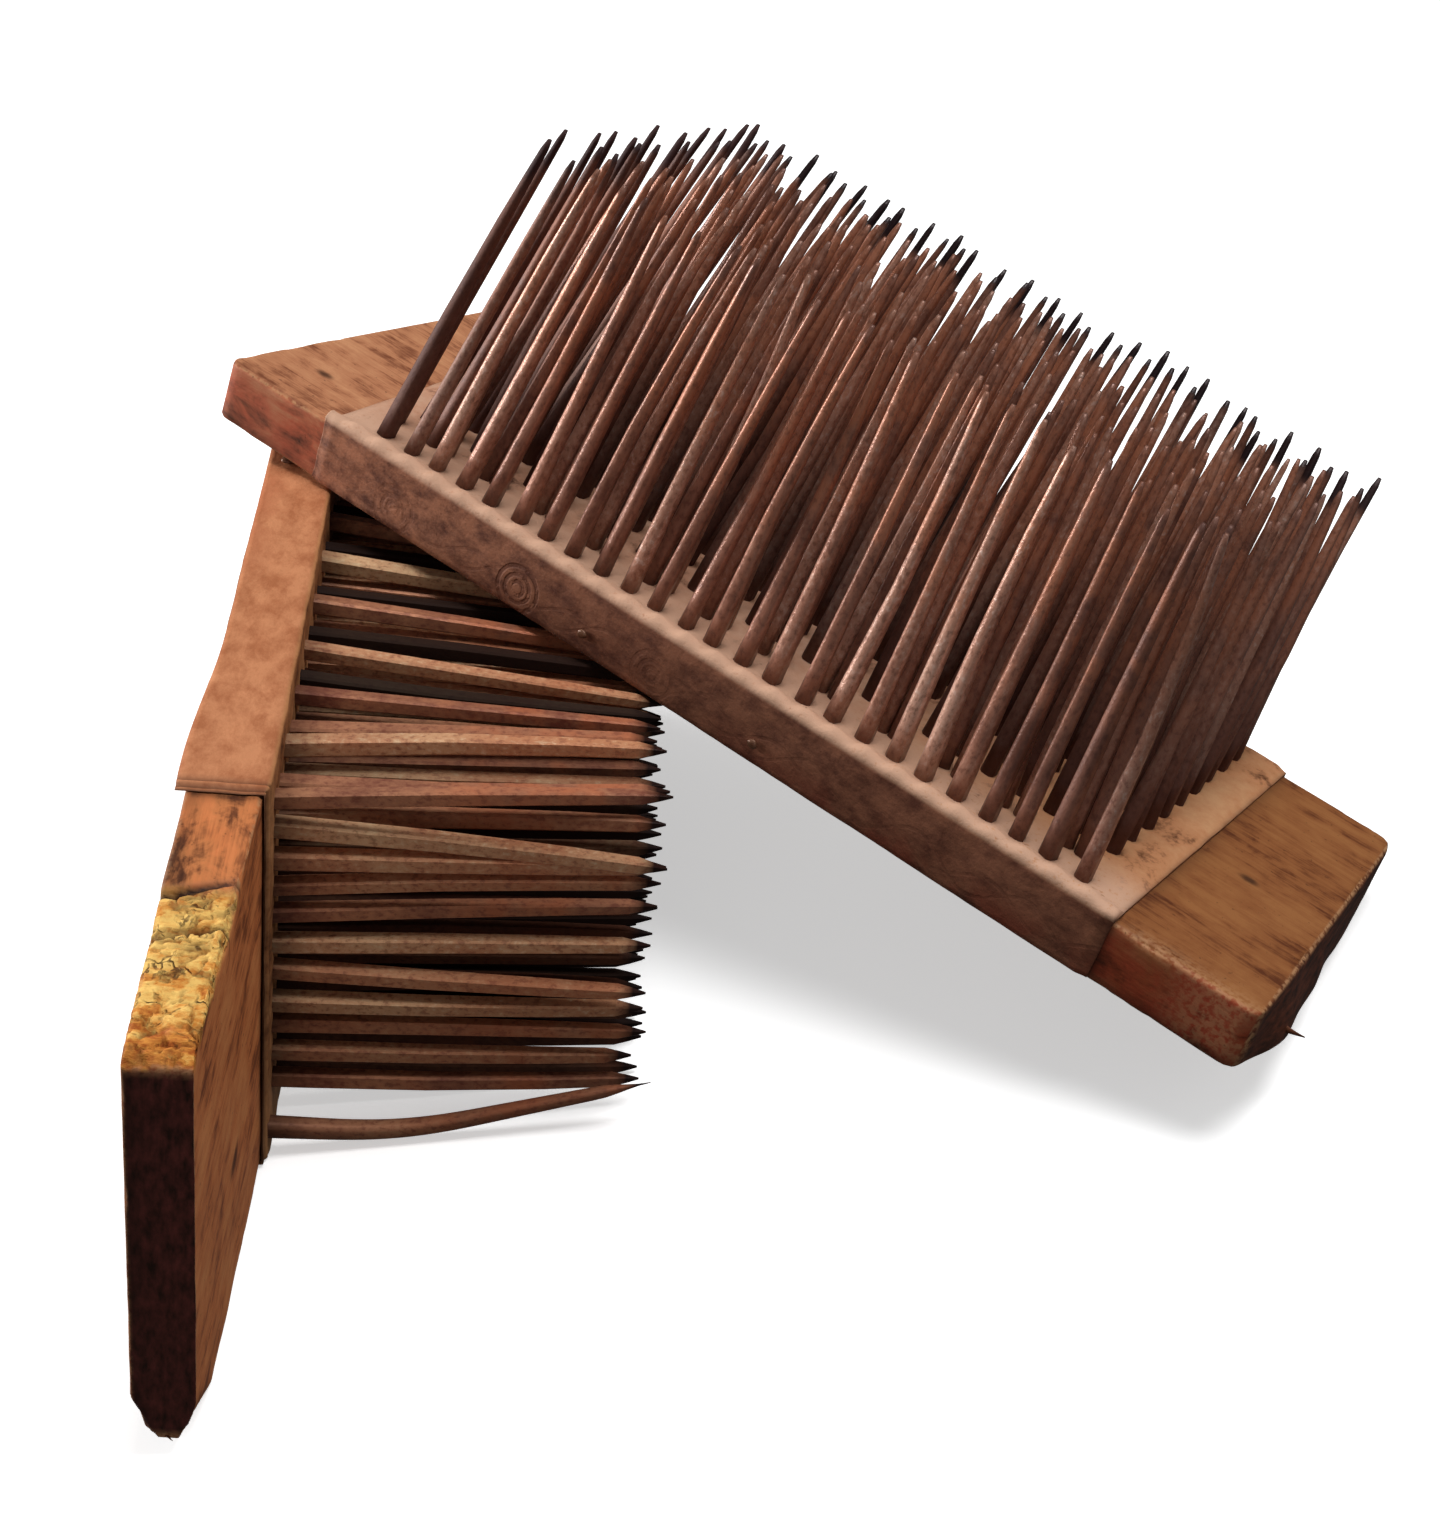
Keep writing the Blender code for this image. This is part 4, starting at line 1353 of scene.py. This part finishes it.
    def edge_lip(self, points: Array) -> Array:
        """Return the height of the lip along the near edge, pushed up between the tines.

        Args:
            points: Points of the sheet.

        Returns:
            The heights in metres.
        """
        bases = self.field.bases()
        pitch = bases[0, 1, 0] - bases[0, 0, 0]
        wave = 0.5 - 0.5 * np.cos(2.0 * np.pi * (points[..., 0] - bases[0, 0, 0]) / pitch)
        lip = np.exp(-(((points[..., 1] - self.lip_middle) / self.lip_width) ** 2)) * (0.6 + 0.4 * wave)
        return self.lip * lip

    def dirt_and_shade(self, points: Array, reach: Array) -> Array:
        """Return how dark the hide is made: dirt and painted contact shade round each tine, and more or less
        at its ends.

        Args:
            points: Points of the sheet.
            reach: Their distances from the nearest tine.

        Returns:
            Values from 0 to 1.
        """
        ring = 0.50 * (1.0 - ease(reach, 0.0017, 0.0027))
        start = self.seams[0] * (1.0 - ease(points[..., 0] - self.start, 0.0, 0.0012))
        end = self.seams[1] * (1.0 - ease(self.end - points[..., 0], 0.0, 0.0012))
        return np.clip(ring + start + end, 0.0, 1.0)


@dataclass(frozen=True)
class BentTine:
    """The lower comb's bent tine: it dips as it leaves the sheet and then curves up."""

    name: str
    node: str
    place: CombFrame
    x: float = 0.0900
    y: float = 0.0068
    root: float = 0.009
    length: float = 0.089
    width: float = 0.0042
    dip: float = 1.0
    dip_run: float = 0.005
    rise: float = 19.0
    rise_start: float = 0.010
    rise_end: float = 0.052
    steps: int = 34

    def build(self, material: bpy.types.Material) -> None:
        """Build it: a rounded square carried along a path of growing angle, narrowing to its point.

        Args:
            material: Finish of the iron.
        """
        run = np.linspace(0.0, self.length, self.steps)
        more = (self.rise - self.dip) * ease(run, self.rise_start, self.rise_end)
        angle = np.radians(self.dip * ease(run, 0.0, self.dip_run) + more)
        hop = np.diff(run, prepend=0.0)
        y = self.y + np.cumsum(np.sin(angle) * hop)
        z = PROUD + np.cumsum(np.cos(angle) * hop)
        y, z = np.concatenate(((self.y,), y)), np.concatenate(((-self.root,), z))
        angle = np.concatenate(((0.0,), angle))
        share = np.concatenate(((0.0,), run / self.length))
        wide = self.width * (1.0 - 0.5 * share) * (1.0 - 0.93 * ease(share, 0.86, 1.0)) / 2.0
        turn = np.radians(np.arange(12) * 30.0 + 15.0)
        blunt = 1.0 / np.maximum(np.abs(np.cos(turn)), np.abs(np.sin(turn))) ** 0.7
        side_x = (np.cos(turn) * blunt)[None, :] * wide[:, None]
        side_y = (np.sin(turn) * blunt)[None, :] * wide[:, None]
        rings = np.stack((
            self.x + side_x,
            y[:, None] + side_y * np.cos(angle)[:, None],
            z[:, None] - side_y * np.sin(angle)[:, None],
        ), axis=-1)
        values = {
            "own": np.full(rings.shape[:2], 0.25),
            "run": np.broadcast_to(share[:, None], rings.shape[:2]),
            "tip": np.ones(rings.shape[:2]),
            "shade": np.full(rings.shape[:2], 0.40),
        }
        skin = Skin.tube(rings, values)
        hand_over(skin.piece(self.name, self.place, material), self.place, Slot.TINE, self.node)


@dataclass(frozen=True)
class Nail:
    """A small nail with a hammered, slightly uneven head."""

    name: str
    node: str
    place: CombFrame
    x: float
    side: int
    seed: int
    size: float = 1.0
    drop: float = 0.0105
    sides: int = 18
    radii: tuple[float, ...] = (0.0002, 0.0008, 0.0008, 0.0017, 0.0018, 0.0016, 0.0011, 0.0005, 0.00002)
    heights: tuple[float, ...] = (-0.0085, -0.0070, 0.0, 0.0, 0.00025, 0.0006, 0.00082, 0.0009, 0.00092)

    def build(self, material: bpy.types.Material) -> None:
        """Build it: a profile of radius and height turned about the nail's axis.

        Args:
            material: Finish of the iron.
        """
        radius, height = np.array(self.radii) * self.size, np.array(self.heights) * self.size
        turn = np.arange(self.sides) * 2.0 * np.pi / self.sides
        uneven = 1.0 + 0.07 * np.sin(2.0 * turn + self.seed) + 0.05 * np.sin(3.0 * turn + 2.0 * self.seed)
        grow = np.where(height >= 0.0, 1.0, 0.0)[:, None] * (uneven[None, :] - 1.0) + 1.0
        seat = -PROUD - SEAT_GAP if self.side < 0 else BOARD_WIDTH + PROUD + SEAT_GAP
        rings = np.stack((
            self.x + radius[:, None] * grow * np.cos(turn)[None, :],
            np.broadcast_to(seat + self.side * height[:, None], (len(radius), self.sides)),
            -self.drop + radius[:, None] * grow * np.sin(turn)[None, :],
        ), axis=-1)
        values = {"own": np.full(rings.shape[:2], 0.5), "run": np.full(rings.shape[:2], 0.4)}
        skin = Skin.tube(rings, values)
        hand_over(skin.piece(self.name, self.place, material), self.place, Slot.NAIL, self.node)


@dataclass(frozen=True)
class Splinter:
    """A sliver torn from a board's end: thin, tapering and a little curled."""

    name: str
    place: CombFrame
    start: Triple
    way: Triple
    curl: Triple
    width: float = 0.0022
    sides: int = 8

    def build(self, material: bpy.types.Material) -> None:
        """Build it: a flat ring carried along a curled path, narrowing to its point.

        Args:
            material: Finish of the sliver.
        """
        run = np.linspace(0.0, 1.0, 9)[:, None]
        spine = np.array(self.start) + run * np.array(self.way) + run**2 * np.array(self.curl)
        turn = np.arange(self.sides) * 2.0 * np.pi / self.sides
        size = self.width * (1.0 - 0.92 * run) / 2.0
        rings = np.repeat(spine[:, None], self.sides, axis=1)
        rings[..., 1] += 0.45 * size * np.cos(turn)
        rings[..., 2] += size * np.sin(turn)
        values = {"end": np.full(rings.shape[:2], 0.8), "dirt": np.full(rings.shape[:2], 0.4)}
        skin = Skin.tube(rings, values)
        hand_over(skin.piece(self.name, self.place, material), self.place, Slot.WOOD)


# Studio


@dataclass(frozen=True)
class Lamp:
    """One square soft light."""

    name: str
    place: Triple
    size: float
    power: float

    def hang(self, aim: Vector) -> None:
        """Hang the light so that it looks at a point.

        Args:
            aim: The point.
        """
        data = bpy.data.lights.new(self.name, "AREA")
        data.shape = "SQUARE"
        data.size = self.size
        data.energy = self.power
        light = bpy.data.objects.new(self.name, data)
        light.location = self.place
        light.rotation_euler = (aim - Vector(self.place)).to_track_quat("-Z", "Y").to_euler()
        bpy.context.scene.collection.objects.link(light)


@dataclass(frozen=True)
class Studio:
    """Floor, soft light and camera."""

    eye: Triple = (-0.0017146, -0.5329267, 0.4060397)
    elevation: float = math.radians(33.62432)
    azimuth: float = math.radians(-1.8054)
    roll: float = math.radians(-6.04719)
    sensor: float = 36.0
    focal: float = 2661.19 * 36.0 / 1440.0
    aim: Triple = (0.0, 0.0, 0.06)
    sky: float = 0.085
    floor_glow: float = 0.52
    floor_side: float = 4.0
    lamps: tuple[Lamp, ...] = (
        Lamp("key", (0.45, -0.02, 1.42), 0.7, 15.8),
        Lamp("side", (-1.05, 0.36, 0.42), 0.3, 11.0),
        Lamp("front", (-0.20, -1.18, 0.50), 0.8, 1.05),
        Lamp("right", (0.90, -0.20, 0.50), 0.6, 0.8),
    )

    def add_camera(self) -> None:
        """Set the camera from the angles and focal length that fit the photographed corners."""
        sine_e, cosine_e = math.sin(self.elevation), math.cos(self.elevation)
        sine_a, cosine_a = math.sin(self.azimuth), math.cos(self.azimuth)
        ahead = Vector((sine_a * cosine_e, cosine_a * cosine_e, -sine_e))
        level = Vector((cosine_a, -sine_a, 0.0))
        rise = level.cross(ahead)
        right = level * math.cos(self.roll) + rise * math.sin(self.roll)
        up = rise * math.cos(self.roll) - level * math.sin(self.roll)
        turn = Matrix((right, up, -ahead)).transposed().to_4x4()
        data = bpy.data.cameras.new("camera")
        data.sensor_fit = "HORIZONTAL"
        data.sensor_width = self.sensor
        data.lens = self.focal
        data.clip_start = 0.01
        camera = bpy.data.objects.new("camera", data)
        camera.matrix_world = Matrix.Translation(self.eye) @ turn
        bpy.context.scene.collection.objects.link(camera)
        bpy.context.scene.camera = camera

    def add_floor(self) -> None:
        """Lay the pale floor."""
        pal = Palette("floor")
        white = (1.0, 1.0, 1.0)
        material = pal.finish(Base_Color=white, Roughness=0.9, Emission_Color=white,
                              Emission_Strength=self.floor_glow)
        mesh = bpy.data.meshes.new("floor")
        side = self.floor_side
        corners = [(-side, -side, 0.0), (side, -side, 0.0), (side, side, 0.0), (-side, side, 0.0)]
        mesh.from_pydata(corners, [], [(0, 1, 2, 3)])
        mesh.materials.append(material)
        floor = bpy.data.objects.new("floor", mesh)
        floor.visible_diffuse = False
        floor.visible_glossy = False
        bpy.context.scene.collection.objects.link(floor)

    def build(self) -> None:
        """Set up the whole studio."""
        world = bpy.data.worlds.new("studio")
        world.use_nodes = True
        glow = world.node_tree.nodes["Background"].inputs
        glow["Color"].default_value = (1.0, 1.0, 1.0, 1.0)
        glow["Strength"].default_value = self.sky
        bpy.context.scene.world = world
        bpy.context.scene.view_settings.view_transform = "Standard"
        self.add_floor()
        for lamp in self.lamps:
            lamp.hang(Vector(self.aim))
        self.add_camera()


def upper_field(place: CombFrame) -> TineField:
    """Return the upper comb's field of tines.

    Args:
        place: Frame of the comb.

    Returns:
        The field.
    """
    return TineField(
        name="upper_tines", node="upper_tine_row", place=place, length=0.3034, rows=11, columns=25,
        row_first=0.0075, row_last=0.0945, column_first=0.0463, column_last=0.2530,
        tine_length=0.0837, fall_along=0.0033, fall_across=0.0062, lean_mean=4.7, lean_fan=10.3,
        across_mean=10.7, across_fan=9.8, seed=11,
        stations=(-0.012, 0.10, 0.42, 0.74, 0.88, 0.97, 1.0),
        widths=(1.0, 0.95, 0.78, 0.62, 0.50, 0.40, 0.22), painted_shade_end=0.30, fringe=True,
        paired=0.0040, painted_shade_foot=0.80, dark_start=0.75, soft=0.60, base_width=0.0039,
    )


def lower_field(place: CombFrame) -> TineField:
    """Return the lower comb's field of tines.

    Args:
        place: Frame of the comb.

    Returns:
        The field.
    """
    return TineField(
        name="lower_tines", node="lower_tine_row", place=place, length=0.2960, rows=11, columns=16,
        row_first=0.0153, row_last=0.0930, column_first=0.0974, column_last=0.2525,
        tine_length=0.0850, fall_along=0.0, fall_across=0.0, lean_mean=0.0, lean_fan=0.0,
        across_mean=3.4, across_fan=0.5, seed=23, pressed=True,
        stations=(-0.012, 0.10, 0.42, 0.74, 0.925, 0.965, 1.0),
        widths=(1.0, 0.98, 0.91, 0.82, 0.72, 0.42, 0.10),
        front_lean=(3.9, 2.8, 3.0, 2.6, 1.5, 3.5, 4.7, 5.6, 3.0, -1.6, 5.1), painted_shade_deep=0.97,
        dark_low=0.32, painted_shade_tines=(5, 7, 9, 11, 13), column_stagger=-0.0032, smooth=False, soft=0.74, twist=0.09,
    )


def drive_nails(edge: str, place: CombFrame, side: int, spots: tuple[float, ...],
                material: bpy.types.Material, seed: int, size: float = 1.0) -> None:
    """Drive nails into one long edge of a comb.

    Args:
        edge: Name of the comb and of its edge.
        place: Frame of the comb.
        side: -1 for the near edge and 1 for the far one.
        spots: Places along the board.
        material: Finish of the nails.
        seed: Number before that of the first nail, which sets how uneven its head is.
        size: Size of the nails.
    """
    for number, x in enumerate(spots, 1):
        name, node = f"{edge}_nail_head_{number}", f"{edge}_nail_{number}"
        Nail(name, node, place, x, side, number + seed, size).build(material)


def build_upper(iron: bpy.types.Material, nail: bpy.types.Material) -> None:
    """Build the upper comb.

    Args:
        iron: Finish of its tines.
        nail: Finish of its nails.
    """
    place = upper_frame()
    wood = WoodFinish(
        "upper_wood", pale=paint(214, 152, 110), middle=paint(194, 130, 92), dark=paint(132, 76, 50),
        flank=paint(186, 84, 56), end=paint(112, 60, 40), far_tint=(0.50, 0.42, 0.27),
        far_flank=(0.80, 0.52, 0.54),
        knots=((0.0165, 0.0190, 0.0024), (0.2790, 0.0480, 0.0024)),
    ).make()
    hide = HideFinish(
        "upper_hide", pale=paint(216, 172, 144), middle=paint(204, 150, 120), dark=paint(88, 50, 35),
        flank_pale=paint(180, 120, 90), flank_dark=paint(102, 60, 45), red=paint(152, 66, 46),
        rings=((0.0998, 1.0), (0.0600, 0.35), (0.1410, 0.35)), fade=0.46, far_tint=(0.96, 0.84, 0.62),
    ).make()
    Board("upper_board_wood", "upper_board", place, 0.3034, 0.0112, 0.0067, 0.0338, 0.0379, seed=3,
          end_bulge=0.0065, rubbed=True).build(wood)
    Splinter("upper_end_splinter", place, (0.3020, 0.0230, -0.0135), (0.0075, -0.0010, 0.0004),
             (0.0010, 0.0004, 0.0010), 0.0034).build(wood)
    field = upper_field(place)
    field.build(iron)
    Sheet("upper_sheet", "upper_wrap", place, field, 0.0338, 0.2655, seed=5, lip=0.0023,
          seams=(0.15, 0.6)).build(hide)
    drive_nails("upper_near", place, -1, (0.1205, 0.1715), nail, 0, 0.7)
    drive_nails("upper_far", place, 1, (0.0900, 0.2000), nail, 2)


def build_lower(iron: bpy.types.Material, nail: bpy.types.Material) -> None:
    """Build the lower comb.

    Args:
        iron: Finish of its tines.
        nail: Finish of its nails.
    """
    place = lower_frame()
    wood = WoodFinish(
        "lower_wood", pale=paint(232, 150, 92), middle=paint(214, 126, 74), dark=paint(140, 78, 46),
        flank=paint(194, 122, 72), end=paint(112, 54, 47), knots=((0.0480, 0.0343, 0.0042),), contrast=0.08,
    ).make()
    hide = HideFinish(
        "lower_hide", pale=paint(200, 142, 94), middle=paint(150, 98, 60), dark=paint(56, 32, 22),
        flank_pale=paint(206, 138, 96), flank_dark=paint(174, 106, 68), red=paint(182, 108, 72),
        rings=((0.1200, 0.5),), fade=0.0,
    ).make()
    Board("lower_board_wood", "lower_board", place, 0.2960, 0.0, 0.0, 0.0849, 0.0310, seed=7, deep_steps=27,
          hewn=True, seams=(0.9, 0.5)).build(wood)
    Splinter("lower_end_splinter", place, (0.0040, 0.0042, -0.0110), (-0.0040, -0.0032, 0.0004),
             (-0.0004, 0.0010, 0.0030), 0.0030).build(wood)
    field = lower_field(place)
    field.build(iron)
    BentTine("lower_bent_bar", "lower_bent_tine", place).build(iron)
    Sheet("lower_sheet", "lower_wrap", place, field, 0.0849, 0.2650, seed=9, lip=0.0003, seams=(1.0, 0.5),
          grooves=(0.0864, 0.0883), hem_drop=0.0028).build(hide)
    drive_nails("lower_near", place, -1, (0.1450, 0.2430), nail, 4)
    drive_nails("lower_far", place, 1, (0.2320, 0.2530), nail, 6)


def main() -> None:
    """Build the combs and the studio."""
    logging.basicConfig(level=logging.INFO)
    upper_iron = IronFinish(
        "upper_tine_iron", skin=paint(118, 76, 62), rust=paint(180, 125, 103), ochre=paint(222, 175, 152),
        bloom=paint(196, 120, 84), shine=paint(240, 220, 208), point=paint(40, 24, 26),
        shadow=paint(62, 28, 25),
    ).make()
    lower_iron = IronFinish(
        "lower_tine_iron", skin=paint(138, 82, 66), rust=paint(214, 151, 113), ochre=paint(250, 209, 161),
        bloom=paint(190, 102, 66), shine=paint(250, 224, 184), point=paint(44, 24, 20),
        tip_from=0.91, dents=0.00014, gloss=0.2,
    ).make()
    nail = IronFinish(
        "nail_iron", skin=paint(86, 58, 44), rust=paint(124, 86, 64), ochre=paint(146, 104, 78),
        bloom=paint(140, 84, 56), shine=paint(190, 160, 140), point=paint(60, 38, 30),
    ).make()
    build_upper(upper_iron, nail)
    build_lower(lower_iron, nail)
    Studio().build()


if __name__ == "__main__":
    main()
